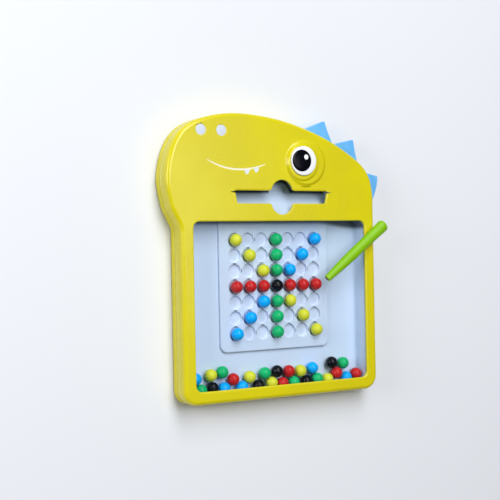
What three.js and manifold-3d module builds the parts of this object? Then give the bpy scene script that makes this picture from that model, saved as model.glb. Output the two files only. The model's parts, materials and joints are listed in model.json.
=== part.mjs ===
// A child's magnetic drawing board in the shape of a baby dinosaur, in millimetres.
// It lies on its back: the origin is on the back face, under the centre of the window,
// +Z is the way the face looks and +Y runs towards the top of the head.
// Two shells clamp a bead tray, a clear window and a crest of spikes between them.
// A pen with a magnet in its tip lies across the right-hand border, and pulls the beads
// under the window from the bottom of the tray up into its seven by seven wells.
import * as THREE from 'three';
import { mergeVertices } from 'three/addons/utils/BufferGeometryUtils.js';
import Module from 'manifold-3d';

const wasm = await Module();
wasm.setup();

// Clearances: between parts that touch, in the joint of the two shells, and the overrun of cuts.
// Corners nearer than a small share of the clearance are one corner.
const fit = 0.3;
const seamFit = 0.2;
const overrun = 1;
const weldShare = 0.001;

// The window and the border round it.
const windowSize = { width: 182.4, height: 149, corner: 6, chamfer: 1, clear: 1.4 };
const border = { width: 11.8, corner: 13, edgeRadius: 4, rearRadius: 2.4 };

// The two shells.
const shell = { wall: 2, face: 2, back: 2, parting: 9, lip: 1, lipRise: 2.2 };
const rib = { width: 1.6, height: 1.2, rowShares: [-0.72, 0.1, 0.92] };
const screw = { boss: 2.75, pilot: 1.1, head: 2.1, headDepth: 4, seat: 1.2 };

// The beads and the tray that they roll in.
const bead = { diameter: 11.4, headroom: 0.9 };
const well = { play: 1.4, pitch: 14.2, depth: 2.6, flare: 0.5, gridLift: 15.6 };
const tray = { floor: 1.5, wall: 1.5, sideHide: 1, topHide: 2.2, bottomHide: 6.2, corner: 8 };
const panel = { width: 116.5, drop: 43.6, corner: 7, chamfer: 0.9 };

// The slot for pattern cards in the cheek, with a round notch for the thumb.
const slot = {
  lift: 90.6, height: 11.6, top: 97.6, bottom: 93.4, chamfer: 0.8, leadIn: 2.4,
  slit: 108.4, slitLift: 100.8, slitGape: 1.6,
};
const thumb = { radius: 11.5, stretch: 4.3, lift: 96.3, blend: 3 };
const trough = { wall: 1.2, margin: 1.6, deep: 1.6, brink: 2.2, shelfShare: 0.3 };

// The head: how far the snout and the crown reach from the centre of the window.
const head = { snoutReach: 116.6, crownLift: 171.5, neckLift: 72 };

// The brow, from the right-hand side over the crown to the snout and back to the neck.
// Each point is a share of the half width of the body or of the snout's reach, and a share
// of the height from the neck to the crown.
const browShares = [
  [1, 0.129], [0.996, 0.297], [0.957, 0.452], [0.848, 0.586], [0.569, 0.759],
  [0.289, 0.876], [-0.029, 0.963], [-0.349, 1], [-0.601, 0.97], [-0.818, 0.875],
  [-0.945, 0.692], [-1, 0.415], [-0.968, 0.178],
];
const neckShares = [-0.905, 0.045];

// The face on the shell: a raised eye in two steps, nostrils, and a mouth with two teeth.
const eye = {
  x: 25.5, lift: 128.2, moundRadius: 22, moundRise: 1.6, moundRound: 1,
  innerShift: 4.3, innerRadius: 17.7, innerRise: 1.4,
  whiteRadius: 13.4, whiteShift: 4.6, whiteLift: 1.5, whiteEdge: 1.2, whiteCrown: 1.3, sink: 1.2,
  pupilRadius: 9.8, pupilShift: 2.6, pupilEdge: 0.8, pupilCrown: 1.1, pupilSink: 0.9,
};
const nostril = { radius: 5, lift: 155.1, innerX: -62, spacing: 20.4, depth: 0.8 };
const mouth = {
  left: -77.1, leftLift: 129.3, right: -17.8, rightLift: 125.9, sagLift: 114.4, sagX: -50.5,
  width: 1.7, depth: 0.7, endShare: 0.06,
};
const tooth = { width: 6.4, drop: 4.6, sharesAlong: [0.7, 0.855], tipShare: 0.42 };

// The crest: spikes on a band that the shells clamp. Each spike has the shares of the brow's
// length where it starts, has its tip and ends, and its share of the crest's height.
const crest = { height: 18.2, thick: 5, band: 5, root: 4, round: 0.8, foot: 6 };
const spikes = [
  { startShare: 0.364, tipShare: 0.302, endShare: 0.24, heightShare: 0.97, hollowShare: 0.125 },
  { startShare: 0.257, tipShare: 0.196, endShare: 0.133, heightShare: 1, hollowShare: 0.125 },
  { startShare: 0.121, tipShare: 0.089, endShare: 0.004, heightShare: 0.84, hollowShare: -0.42 },
];

// The pen, from its tip to its round tail, with the radii at the tip, the middle and the tail.
const pen = {
  length: 81.6, tipX: 46.3, tipLift: 20.5, turn: 38.4, tip: 3.4, tipRound: 0.8, middle: 5.2,
  middleShare: 0.5, tail: 5.9, tailRound: 3.2, flatShare: 0.84,
  magnet: 1.8, magnetDepth: 3, magnetProud: 0.5,
};

// The beads that sit in the wells, row by row from the top, and those that lie loose.
// A loose bead's place is a share of the free half width, and it drops until it rests.
const seated = ['y..g..b', '.y.g.b.', '..ygb..', 'rrrkrrr', '..bgy..', '.b.g.y.', 'b..g..y'];
const looseShares = [
  ['g', -0.939], ['b', -0.668], ['k', -0.256], ['r', 0.043], ['k', 0.345], ['y', 0.621],
  ['b', 0.868], ['k', -0.804], ['b', -0.455], ['y', -0.092], ['g', 0.184], ['g', 0.486],
  ['r', 0.744], ['r', 1], ['r', -0.559], ['b', -1], ['y', -0.822], ['y', -0.36],
  ['k', -0.024], ['y', 0.273], ['k', 0.68], ['g', -0.688], ['g', -0.174], ['r', 0.125],
  ['b', 0.425], ['g', 0.831],
];

// Screws: places along the sides as shares of the window's half height, and in the head.
const sideScrewShares = [-0.8, 0, 0.8];
const headScrewShares = [[-0.78, 0.3], [0.86, 0.24], [-0.2, 0.86]];

// How finely round things are cut.
const steps = { corner: 5, brow: 4, fillet: 3, hole: 12, well: 14, disc: 28, mouth: 10, pen: 14 };

// Heights of the stack, from the back face up.
const trayBase = shell.back + rib.height + fit;
const floorTop = trayBase + tray.floor;
const panelTop = floorTop + well.depth;
const windowBase = panelTop + bead.diameter + bead.headroom;
const windowTop = windowBase + windowSize.clear;
const faceBase = windowTop + fit;
const faceTop = faceBase + shell.face;
const shellBase = shell.parting + fit;
const crestBase = shell.parting + fit;
const moundTop = faceTop + eye.moundRise + eye.innerRise;

// Widths and lifts that other parts follow.
const halfWindow = windowSize.width / 2;
const windowRise = windowSize.height / 2;
const halfBody = halfWindow + border.width;
const bodyBottom = -windowRise - border.width;
const chamberHalf = halfWindow + tray.sideHide;
const chamberBottom = -windowRise - tray.bottomHide;
const chamberTop = windowRise + tray.topHide;
const lipInner = halfBody - shell.wall - seamFit - shell.lip;
const beadRadius = bead.diameter / 2;
const beadLift = floorTop + fit + beadRadius;

function material(color, roughness, extra = {}) {
  return new THREE.MeshStandardMaterial({ color, roughness, metalness: 0, ...extra });
}

const plastics = {
  casing: material(0xded423, 0.42),
  rear: material(0xd6cb24, 0.5),
  tray: material(0xc8d6ee, 0.4),
  clear: material(0xf2f6fa, 0.06, { transparent: true, opacity: 0.16 }),
  crest: material(0x62b7f8, 0.45),
  white: material(0xfafaff, 0.25),
  black: material(0x141423, 0.2),
  pen: material(0x91d214, 0.38),
  magnet: material(0x8c8f94, 0.3, { metalness: 1 }),
};
const beadPlastics = {
  b: { name: 'blue', look: material(0x1496f0, 0.25) },
  g: { name: 'green', look: material(0x23a05a, 0.25) },
  r: { name: 'red', look: material(0xd72323, 0.25) },
  y: { name: 'yellow', look: material(0xd7e132, 0.25) },
  k: { name: 'black', look: material(0x0f0f19, 0.25) },
};

const board = new THREE.Group();

function addPiece(name, geometry, look) {
  const mesh = new THREE.Mesh(geometry, look);
  mesh.name = name;
  board.add(mesh);
  return mesh;
}

// A closed geometry as a solid that can be joined and cut.
function solid(geometry) {
  const bare = geometry.index ? geometry.toNonIndexed() : geometry.clone();
  bare.deleteAttribute('normal');
  bare.deleteAttribute('uv');
  const merged = mergeVertices(bare, fit * weldShare);
  const mesh = new wasm.Mesh({
    numProp: 3,
    vertProperties: new Float32Array(merged.attributes.position.array),
    triVerts: new Uint32Array(merged.index.array),
  });
  return new wasm.Manifold(mesh);
}

function geometryOf(body) {
  const mesh = body.getMesh();
  const geometry = new THREE.BufferGeometry();
  geometry.setAttribute('position', new THREE.BufferAttribute(mesh.vertProperties, 3));
  geometry.setIndex(new THREE.BufferAttribute(mesh.triVerts, 1));
  geometry.computeVertexNormals();
  return geometry;
}

function joined(first, ...others) {
  return others.reduce((whole, other) => whole.add(other), first);
}

function cut(first, ...others) {
  return others.reduce((whole, other) => whole.subtract(other), first);
}

// A closed outline moved inwards by a distance, along the bisector at each corner.
function inset(points, distance) {
  return points.map((point, i) => {
    const before = points[(i + points.length - 1) % points.length];
    const after = points[(i + 1) % points.length];
    const a = point.clone().sub(before).normalize();
    const b = after.clone().sub(point).normalize();
    const normals = new THREE.Vector2(-a.y - b.y, a.x + b.x);
    return point.clone().addScaledVector(normals, distance / (1 + a.dot(b)));
  });
}

// A closed skin through rings of equally many points, from the lowest to the highest.
function loft(rings) {
  const count = rings[0].points.length;
  const places = rings.flatMap(({ points, z }) => points.flatMap((p) => [p.x, p.y, z]));
  const faces = [];
  for (let r = 0; r + 1 < rings.length; r += 1) {
    for (let i = 0; i < count; i += 1) {
      const a = r * count + i;
      const b = r * count + ((i + 1) % count);
      faces.push(a, b, b + count, a, b + count, a + count);
    }
  }
  const top = (rings.length - 1) * count;
  const first = THREE.ShapeUtils.triangulateShape(rings[0].points, []);
  const last = THREE.ShapeUtils.triangulateShape(rings[rings.length - 1].points, []);
  first.forEach(([a, b, c]) => faces.push(a, c, b));
  last.forEach(([a, b, c]) => faces.push(top + a, top + b, top + c));
  const geometry = new THREE.BufferGeometry();
  geometry.setAttribute('position', new THREE.Float32BufferAttribute(places, 3));
  geometry.setIndex(faces);
  return geometry;
}

function prism(points, low, high) {
  return solid(loft([{ points, z: low }, { points, z: high }]));
}

// A rectangle with round corners.
function roundedOutline(left, bottom, right, top, radius) {
  const shape = new THREE.Shape();
  const quarter = Math.PI / 2;
  shape.absarc(right - radius, bottom + radius, radius, -quarter, 0);
  shape.absarc(right - radius, top - radius, radius, 0, quarter);
  shape.absarc(left + radius, top - radius, radius, quarter, 2 * quarter);
  shape.absarc(left + radius, bottom + radius, radius, 2 * quarter, 3 * quarter);
  return shape.getPoints(steps.corner);
}

function circleOutline(x, y, radius, count = steps.disc) {
  return Array.from({ length: count }, (_, i) => {
    const angle = (i / count) * Math.PI * 2;
    return new THREE.Vector2(x + radius * Math.cos(angle), y + radius * Math.sin(angle));
  });
}

function block(left, bottom, low, right, top, high) {
  const box = new THREE.BoxGeometry(right - left, top - bottom, high - low);
  box.translate((left + right) / 2, (bottom + top) / 2, (low + high) / 2);
  return solid(box);
}

function rod(x, y, radius, low, high, count = steps.hole) {
  return prism(circleOutline(x, y, radius, count), low, high);
}

// A point of the head, from its two shares.
function headPoint([across, up]) {
  const reach = across < 0 ? head.snoutReach : halfBody;
  const rise = head.crownLift - head.neckLift;
  return new THREE.Vector2(across * reach, head.neckLift + up * rise);
}

const brow = new THREE.SplineCurve(browShares.map(headPoint));

// The outline of both shells: a body with round bottom corners, and the head above it.
function boardOutline() {
  const r = border.corner;
  const quarter = Math.PI / 2;
  const shape = new THREE.Shape();
  shape.absarc(-halfBody + r, bodyBottom + r, r, 2 * quarter, 3 * quarter);
  shape.absarc(halfBody - r, bodyBottom + r, r, -quarter, 0);
  const points = shape.getPoints(steps.corner);
  points.push(...brow.getPoints(steps.brow * (browShares.length - 1)));
  points.push(headPoint(neckShares), new THREE.Vector2(-halfBody, head.neckLift));
  return points;
}

const outline = boardOutline();

function outlineRing(distance, z) {
  return { points: inset(outline, distance), z };
}

// A rounded edge from the wall of the board to its face: a quarter circle of rings.
function roundedEdge(radius, z, towards) {
  return Array.from({ length: steps.fillet + 1 }, (_, i) => {
    const angle = (i / steps.fillet) * Math.PI / 2;
    return outlineRing(radius * (1 - Math.cos(angle)), z + towards * radius * Math.sin(angle));
  });
}

// The crest

function browPlace(share) {
  const at = brow.getPointAt(share);
  const along = brow.getTangentAt(share);
  return { at, out: new THREE.Vector2(along.y, -along.x) };
}

// One spike: a gentle first edge to the tip, then a steep edge back to the brow, hollow or full.
function spikeOutline({ startShare, tipShare, endShare, heightShare, hollowShare }) {
  const height = crest.height * heightShare;
  const start = browPlace(startShare);
  const end = browPlace(endShare);
  const tip = browPlace(tipShare);
  const point = tip.at.clone().addScaledVector(tip.out, height);
  const foot = (place) => place.at.clone().addScaledVector(place.out, -crest.root);
  const middle = end.at.clone().add(point).divideScalar(2);
  const hollow = middle.addScaledVector(tip.out, -height * hollowShare);
  const shape = new THREE.Shape();
  const from = foot(end);
  shape.moveTo(from.x, from.y);
  shape.lineTo(end.at.x, end.at.y);
  shape.quadraticCurveTo(hollow.x, hollow.y, point.x, point.y);
  shape.lineTo(start.at.x, start.at.y);
  shape.lineTo(foot(start).x, foot(start).y);
  const points = shape.getPoints(steps.corner);
  return THREE.ShapeUtils.isClockWise(points) ? points.reverse() : points;
}

// The part of the shell's inside that the crest's band runs along.
function crestReach(extra) {
  const first = browPlace(spikes[0].startShare).at;
  const last = browPlace(spikes[spikes.length - 1].endShare).at;
  return block(
    first.x - crest.foot - extra, last.y - crest.foot - extra, crestBase - overrun,
    halfBody, head.crownLift, crestBase + crest.thick + overrun,
  );
}

function crestBand(outer, inner, low, high) {
  return cut(
    prism(inset(outline, outer), low, high),
    prism(inset(outline, inner), low - overrun, high + overrun),
  );
}

function makeCrest() {
  const top = crestBase + crest.thick;
  const outer = shell.wall + fit;
  const band = crestBand(outer, outer + crest.band, crestBase, top).intersect(crestReach(0));
  const round = crest.round;
  const blades = spikes.map((spike) => {
    const points = spikeOutline(spike);
    const slim = inset(points, round);
    return solid(loft([
      { points: slim, z: crestBase }, { points, z: crestBase + round },
      { points, z: top - round }, { points: slim, z: top },
    ]));
  });
  return joined(band, ...blades);
}

// The slots in the front shell that the spikes pass through.
function spikeNotches() {
  return spikes.map((spike) => prism(
    inset(spikeOutline(spike), -fit), shellBase - overrun, crestBase + crest.thick + fit,
  ));
}

// Screws

function screwPlaces() {
  const side = (chamberHalf + tray.wall + lipInner) / 2;
  const sides = sideScrewShares.flatMap((share) => [
    new THREE.Vector2(-side, share * windowRise), new THREE.Vector2(side, share * windowRise),
  ]);
  return [...sides, ...headScrewShares.map(headPoint)];
}

const screws = screwPlaces();

// The front shell

// A quarter of the thumb notch and its blend into an edge of the slot, from the notch's crown.
function blendedNotch(edge, side, grow) {
  const centre = thumb.lift + side * thumb.stretch;
  const radius = thumb.radius + grow;
  const round = thumb.blend - grow;
  const rise = side * (edge - centre) + round;
  const reach = Math.sqrt((radius + round) ** 2 - rise ** 2);
  const meet = Math.atan2(rise, reach);
  const points = [];
  for (let i = 0; i <= steps.corner; i += 1) {
    const angle = Math.PI / 2 + (meet - Math.PI / 2) * (i / steps.corner);
    points.push([radius * Math.cos(angle), centre + side * radius * Math.sin(angle)]);
  }
  for (let i = 1; i <= steps.fillet; i += 1) {
    const angle = meet + (Math.PI / 2 - meet) * (i / steps.fillet);
    points.push([
      reach - round * Math.cos(angle), centre + side * (rise - round * Math.sin(angle)),
    ]);
  }
  return points;
}

// Half of the slot, mirrored: a bar that narrows downwards, with the thumb notch across it and
// a slit for the card's edges at each end. Its upper edge leans back further than the others,
// to lead a card in.
function slotOutline(grow) {
  const low = slot.bottom / 2 + grow;
  const high = slot.top / 2 + grow;
  const gape = slot.slitGape / 2 + grow;
  const under = slot.lift - grow;
  const over = slot.lift + slot.height + grow * slot.leadIn / slot.chamfer;
  const right = [
    ...blendedNotch(under, -1, grow), [low, under],
    [high, slot.slitLift - gape], [slot.slit / 2 + grow, slot.slitLift],
    [high, slot.slitLift + gape], [high, over], ...blendedNotch(over, 1, grow).reverse(),
  ];
  const left = right.slice(1, -1).map(([x, y]) => [-x, y]).reverse();
  return [...right, ...left].map(([x, y]) => new THREE.Vector2(x, y));
}

// A cut through the face whose mouth is chamfered.
function faceCut(outlineOf, chamfer) {
  const straight = faceTop - chamfer;
  return solid(loft([
    { points: outlineOf(0), z: faceBase - overrun }, { points: outlineOf(0), z: straight },
    { points: outlineOf(chamfer), z: faceTop }, { points: outlineOf(chamfer), z: faceTop + overrun },
  ]));
}

function windowOutline(grow) {
  return roundedOutline(
    -halfWindow - grow, -windowRise - grow, halfWindow + grow, windowRise + grow,
    windowSize.corner + grow,
  );
}

// One step of the eye's mound, with a round shoulder.
function moundStep(x, radius, low, high) {
  const round = eye.moundRound;
  const rings = [{ points: circleOutline(x, eye.lift, radius), z: low }];
  for (let i = 0; i <= steps.fillet; i += 1) {
    const angle = (i / steps.fillet) * Math.PI / 2;
    const shrink = round * (1 - Math.cos(angle));
    const z = high - round + round * Math.sin(angle);
    rings.push({ points: circleOutline(x, eye.lift, radius - shrink), z });
  }
  return solid(loft(rings));
}

const eyeWhite = new THREE.Vector2(eye.x - eye.whiteShift, eye.lift + eye.whiteLift);

function eyeMound() {
  const low = faceTop - shell.face / 2;
  const step = faceTop + eye.moundRise;
  return [
    moundStep(eye.x, eye.moundRadius, low, step),
    moundStep(eye.x - eye.innerShift, eye.innerRadius, low, moundTop),
  ];
}

// The mouth is a crescent that tapers to both ends, cut a little way into the face.
function mouthCurve() {
  return new THREE.QuadraticBezierCurve(
    new THREE.Vector2(mouth.left, mouth.leftLift), new THREE.Vector2(mouth.sagX, mouth.sagLift),
    new THREE.Vector2(mouth.right, mouth.rightLift),
  );
}

function mouthOutline() {
  const curve = mouthCurve();
  const lower = [];
  const upper = [];
  for (let i = 0; i <= steps.mouth; i += 1) {
    const share = i / steps.mouth;
    const at = curve.getPoint(share);
    const along = curve.getTangent(share);
    const swell = mouth.endShare + share * (1 - 2 * mouth.endShare);
    const half = (mouth.width / 2) * Math.sqrt(Math.sin(Math.PI * swell));
    const side = new THREE.Vector2(-along.y, along.x);
    lower.push(at.clone().addScaledVector(side, -half));
    upper.unshift(at.clone().addScaledVector(side, half));
  }
  return [...lower, ...upper];
}

function toothOutline(share) {
  const at = mouthCurve().getPoint(share);
  const half = tooth.width / 2;
  const tip = half * tooth.tipShare;
  return [
    [-half, 0], [-tip, -tooth.drop], [tip, -tooth.drop], [half, 0],
  ].map(([x, y]) => new THREE.Vector2(at.x + x, at.y + y));
}

function faceRecesses() {
  const nostrils = [0, 1].map((k) => rod(
    nostril.innerX - k * nostril.spacing, nostril.lift, nostril.radius,
    faceTop - nostril.depth, faceTop + overrun, steps.disc,
  ));
  const grin = [mouthOutline(), ...tooth.sharesAlong.map(toothOutline)].map((points) => prism(
    points, faceTop - mouth.depth, faceTop + overrun,
  ));
  const socket = rod(
    eyeWhite.x, eyeWhite.y, eye.whiteRadius + fit, moundTop - eye.sink, moundTop + overrun,
    steps.disc,
  );
  return [...nostrils, ...grin, socket];
}

function makeFrontShell() {
  const edge = border.edgeRadius;
  const inner = edge - shell.wall;
  const skin = solid(loft([
    outlineRing(0, shellBase), ...roundedEdge(edge, faceTop - edge, 1),
  ]));
  const hollow = solid(loft([
    outlineRing(shell.wall, shellBase - overrun), outlineRing(shell.wall, faceBase - inner),
    outlineRing(edge, faceBase),
  ]));
  const bosses = screws.map(({ x, y }) => rod(x, y, screw.boss, shellBase, faceBase + overrun / 2));
  const pilots = screws.map(({ x, y }) => rod(
    x, y, screw.pilot, shellBase - overrun, faceBase - overrun,
  ));
  const body = joined(cut(skin, hollow), ...bosses, ...eyeMound());
  return cut(
    body, faceCut(windowOutline, windowSize.chamfer), faceCut(slotOutline, slot.chamfer),
    ...spikeNotches(), ...faceRecesses(), ...pilots,
  );
}

// The rear cover, with a lip that locates the front shell, posts and ribs under the tray.

function makeRearCover() {
  const rear = border.rearRadius;
  const rim = shell.wall + seamFit + shell.lip;
  const under = roundedEdge(rear, rear, -1).reverse();
  const skin = solid(loft([...under, outlineRing(0, shell.parting)]));
  const lipTop = shell.parting + shell.lipRise;
  const lip = cut(
    prism(inset(outline, shell.wall + seamFit), shell.parting - overrun, lipTop),
    crestReach(crest.foot / 2),
  );
  const hollow = prism(inset(outline, rim), shell.back, lipTop + overrun);
  const posts = screws.map(({ x, y }) => rod(x, y, screw.boss, shell.back / 2, shell.parting));
  const holes = screws.flatMap(({ x, y }) => [
    rod(x, y, screw.head, -overrun, screw.headDepth),
    rod(x, y, screw.seat, 0, shell.parting + overrun),
  ]);
  return cut(joined(cut(joined(skin, lip), hollow), ...posts, ...trayRibs()), ...holes);
}

function trayRibs() {
  const half = rib.width / 2;
  const top = shell.back + rib.height;
  const base = shell.back / 2;
  const reach = chamberHalf - tray.corner;
  const lines = [-1, 0, 1].map((k) => {
    const x = k * panel.width / 2;
    return block(x - half, chamberBottom, base, x + half, troughTop, top);
  });
  const rows = rib.rowShares.map((share) => {
    const y = share * windowRise;
    return block(-reach, y - half, base, reach, y + half, top);
  });
  return [...lines, ...rows];
}

// The bead tray

const troughHalf = slot.slit / 2 + trough.margin;
const troughBottom = thumb.lift - thumb.stretch - thumb.radius - slot.chamfer - fit;
const troughTop = thumb.lift + thumb.stretch + thumb.radius + trough.margin;

// The tray's blank: a shallow box for the beads, with the box for the cards above it.
function trayBlank() {
  const w = tray.wall;
  const top = windowBase - fit;
  const box = prism(roundedOutline(
    -chamberHalf - w, chamberBottom - w, chamberHalf + w, chamberTop + w, tray.corner + w,
  ), trayBase, top);
  const cards = block(
    -troughHalf - trough.wall, chamberTop, trayBase,
    troughHalf + trough.wall, troughTop + trough.wall, faceBase - fit,
  );
  const lid = block(
    -chamberHalf - w - overrun, chamberBottom - w, top,
    chamberHalf + w + overrun, chamberTop + w + fit, faceBase + overrun,
  );
  return cut(joined(box, cards), lid);
}

// The raised panel under the wells, with a chamfered edge. Its lower corners are round, and its
// upper ones end square in the tray's wall.
function panelOutline(grow) {
  const half = panel.width / 2 + grow;
  const top = chamberTop + tray.wall / 2;
  const { corner } = panel;
  const low = -panel.drop - grow + corner;
  const shape = new THREE.Shape();
  shape.moveTo(half, top);
  shape.lineTo(-half, top);
  shape.absarc(corner - half, low, corner, Math.PI, Math.PI * 3 / 2);
  shape.absarc(half - corner, low, corner, Math.PI * 3 / 2, Math.PI * 2);
  return shape.getPoints(steps.corner);
}

function raisedPanel() {
  return solid(loft([
    { points: panelOutline(0), z: floorTop - tray.floor / 2 },
    { points: panelOutline(0), z: panelTop - panel.chamfer },
    { points: panelOutline(-panel.chamfer), z: panelTop },
  ]));
}

function wellPlace(row, column) {
  const middle = (seated.length - 1) / 2;
  const x = (column - middle) * well.pitch;
  return new THREE.Vector2(x, well.gridLift + (middle - row) * well.pitch);
}

function wells() {
  const radius = (bead.diameter + well.play) / 2;
  return seated.flatMap((line, row) => Array.from(line, (_, column) => {
    const { x, y } = wellPlace(row, column);
    return solid(loft([
      { points: circleOutline(x, y, radius - well.flare, steps.well), z: floorTop },
      { points: circleOutline(x, y, radius, steps.well), z: panelTop + fit },
    ]));
  }));
}

// The card trough: a deep shelf under the slot's upper edge, and a slope up to its lower edge.
function troughHollow() {
  const deep = trayBase + trough.deep;
  const brink = faceBase - trough.brink;
  const shelf = troughTop - (troughTop - troughBottom) * trough.shelfShare;
  const high = faceBase + overrun;
  const side = new THREE.Shape();
  side.moveTo(troughBottom, brink);
  side.lineTo(shelf, deep);
  side.lineTo(troughTop, deep);
  side.lineTo(troughTop, high);
  side.lineTo(troughBottom, high);
  const across = new THREE.ExtrudeGeometry(side, { depth: 2 * troughHalf, bevelEnabled: false });
  across.translate(0, 0, -troughHalf);
  const turn = new THREE.Matrix4().makeBasis(
    new THREE.Vector3(0, 1, 0), new THREE.Vector3(0, 0, 1), new THREE.Vector3(1, 0, 0),
  );
  return solid(across.applyMatrix4(turn));
}

function makeTray() {
  const hollow = prism(roundedOutline(
    -chamberHalf, chamberBottom, chamberHalf, chamberTop, tray.corner,
  ), floorTop, windowBase + overrun);
  const open = cut(trayBlank(), hollow, troughHollow());
  return cut(joined(open, raisedPanel()), ...wells());
}

// The clear window lies on the tray's walls, under the shell's border.
function makeWindow() {
  const w = tray.wall;
  const points = roundedOutline(
    -chamberHalf - w, chamberBottom - w, chamberHalf + w, chamberTop + w - fit, tray.corner + w,
  );
  return prism(points, windowBase, windowTop);
}

// The eye

// A disc with a straight edge and a domed crown, as a lathe profile turned to stand on +Z.
function dome(x, y, radius, low, edge, crown) {
  const profile = [new THREE.Vector2(0, 0), new THREE.Vector2(radius, 0)];
  for (let i = 0; i <= steps.fillet; i += 1) {
    const share = i / steps.fillet;
    profile.push(new THREE.Vector2(
      radius * Math.cos(share * Math.PI / 2), edge + crown * Math.sin(share * Math.PI / 2),
    ));
  }
  profile[profile.length - 1].x = 0;
  const geometry = new THREE.LatheGeometry(profile, steps.disc);
  geometry.rotateX(Math.PI / 2);
  geometry.translate(x, y, low);
  return solid(geometry);
}

function makeEye() {
  const low = moundTop - eye.sink + fit;
  const whole = dome(
    eyeWhite.x, eyeWhite.y, eye.whiteRadius, low, eye.sink + eye.whiteEdge, eye.whiteCrown,
  );
  const x = eyeWhite.x - eye.pupilShift;
  const high = low + eye.sink + eye.whiteEdge;
  const seat = high - eye.pupilSink;
  const pocket = rod(
    x, eyeWhite.y, eye.pupilRadius + fit, seat - fit, high + eye.whiteCrown + overrun, steps.disc,
  );
  addPiece('eye_white', geometryOf(cut(whole, pocket)), plastics.white);
  const pupil = dome(
    x, eyeWhite.y, eye.pupilRadius, seat, eye.pupilSink + eye.pupilEdge, eye.pupilCrown,
  );
  addPiece('eye_pupil', geometryOf(pupil), plastics.black);
}

// The pen: a turned barrel, a little flattened, that leans on the border with its tip down.

function penRadius(share) {
  const { tip, middle, tail, middleShare } = pen;
  if (share < middleShare) {
    return tip + (middle - tip) * Math.sin((share / middleShare) * Math.PI / 2);
  }
  return middle + (tail - middle) * ((share - middleShare) / (1 - middleShare)) ** 2;
}

function penBarrel() {
  const round = pen.tipRound;
  const profile = [new THREE.Vector2(0, 0), new THREE.Vector2(pen.tip - round, 0)];
  const rings = steps.fillet * 2;
  const straight = pen.length - pen.tailRound;
  for (let i = 0; i <= rings; i += 1) {
    const share = i / rings;
    profile.push(new THREE.Vector2(penRadius(share), round + (straight - round) * share));
  }
  for (let i = 1; i <= steps.fillet; i += 1) {
    const angle = (i / steps.fillet) * Math.PI / 2;
    profile.push(new THREE.Vector2(
      pen.tail - pen.tailRound * (1 - Math.cos(angle)),
      straight + pen.tailRound * Math.sin(angle),
    ));
  }
  profile.push(new THREE.Vector2(0, pen.length));
  return solid(new THREE.LatheGeometry(profile, steps.pen));
}

// The pen is made standing on its tip along +Y, then laid down, turned and leant.
function layPen(body) {
  const geometry = geometryOf(body);
  geometry.scale(1, 1, pen.flatShare);
  const touch = halfWindow + windowSize.chamfer;
  const turn = THREE.MathUtils.degToRad(pen.turn);
  const run = (touch - pen.tipX) / Math.cos(turn);
  const tipHigh = windowTop + fit + pen.tip * pen.flatShare;
  const edgeHigh = faceTop + fit + pen.middle * pen.flatShare;
  const lean = Math.atan2(edgeHigh - tipHigh, run);
  geometry.rotateX(lean);
  geometry.rotateZ(turn - Math.PI / 2);
  geometry.translate(pen.tipX, pen.tipLift, tipHigh + pen.tip * Math.sin(lean) * pen.flatShare);
  return geometry;
}

function makePen() {
  const low = -pen.magnetProud;
  const bore = new THREE.CylinderGeometry(
    pen.magnet + fit, pen.magnet + fit, pen.magnetDepth + overrun, steps.pen,
  );
  bore.translate(0, (pen.magnetDepth + overrun) / 2 - overrun, 0);
  const core = new THREE.CylinderGeometry(
    pen.magnet, pen.magnet, pen.magnetDepth - fit - low, steps.pen,
  );
  core.translate(0, (pen.magnetDepth - fit + low) / 2, 0);
  addPiece('pen_barrel', layPen(cut(penBarrel(), solid(bore))), plastics.pen);
  addPiece('pen_magnet', layPen(solid(core)), plastics.magnet);
}

// The beads

const beadCounts = {};

function addBead(letter, x, y) {
  const { name, look } = beadPlastics[letter];
  beadCounts[name] = (beadCounts[name] ?? 0) + 1;
  const ball = new THREE.IcosahedronGeometry(beadRadius, 1);
  addPiece(`bead_${name}_${beadCounts[name]}`, ball, look).position.set(x, y, beadLift);
}

function seatBeads() {
  seated.forEach((line, row) => Array.from(line, (letter, column) => {
    if (letter !== '.') {
      const { x, y } = wellPlace(row, column);
      addBead(letter, x, y);
    }
  }));
}

// Each loose bead drops towards the bottom wall until it rests on the wall or on beads there.
function dropBeads() {
  const reach = chamberHalf - beadRadius - fit;
  const apart = bead.diameter + fit;
  const lowest = chamberBottom + beadRadius + fit;
  const resting = [];
  looseShares.forEach(([letter, share]) => {
    const x = share * reach;
    const y = resting.reduce((height, other) => {
      const across = Math.abs(other.x - x);
      const rise = across < apart ? Math.sqrt(apart ** 2 - across ** 2) : 0;
      return rise > 0 ? Math.max(height, other.y + rise) : height;
    }, lowest);
    resting.push(new THREE.Vector2(x, y));
    addBead(letter, x, y);
  });
}

addPiece('front_shell', geometryOf(makeFrontShell()), plastics.casing);
addPiece('rear_cover', geometryOf(makeRearCover()), plastics.rear);
addPiece('bead_tray', geometryOf(makeTray()), plastics.tray);
addPiece('clear_window', geometryOf(makeWindow()), plastics.clear);
addPiece('dorsal_crest', geometryOf(makeCrest()), plastics.crest);
makeEye();
makePen();
seatBeads();
dropBeads();

export default board;
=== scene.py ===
"""A child's magnetic drawing board in the shape of a baby dinosaur, dressed around its frame.

The board lies on its back: +Z is the way the face looks and +Y runs towards the crown.
All sizes in the classes are millimetres; meshes are written in metres, where the frame is.
Every surface is worked out with numpy, as rings of points or as a grid of two parameters.
"""

import json
import logging
import math
from collections.abc import Callable
from dataclasses import dataclass, field
from enum import Enum
from functools import cache, cached_property, partial

import bmesh
import bpy
import numpy as np
from mathutils import Matrix, Vector
from mathutils.geometry import delaunay_2d_cdt

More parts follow.
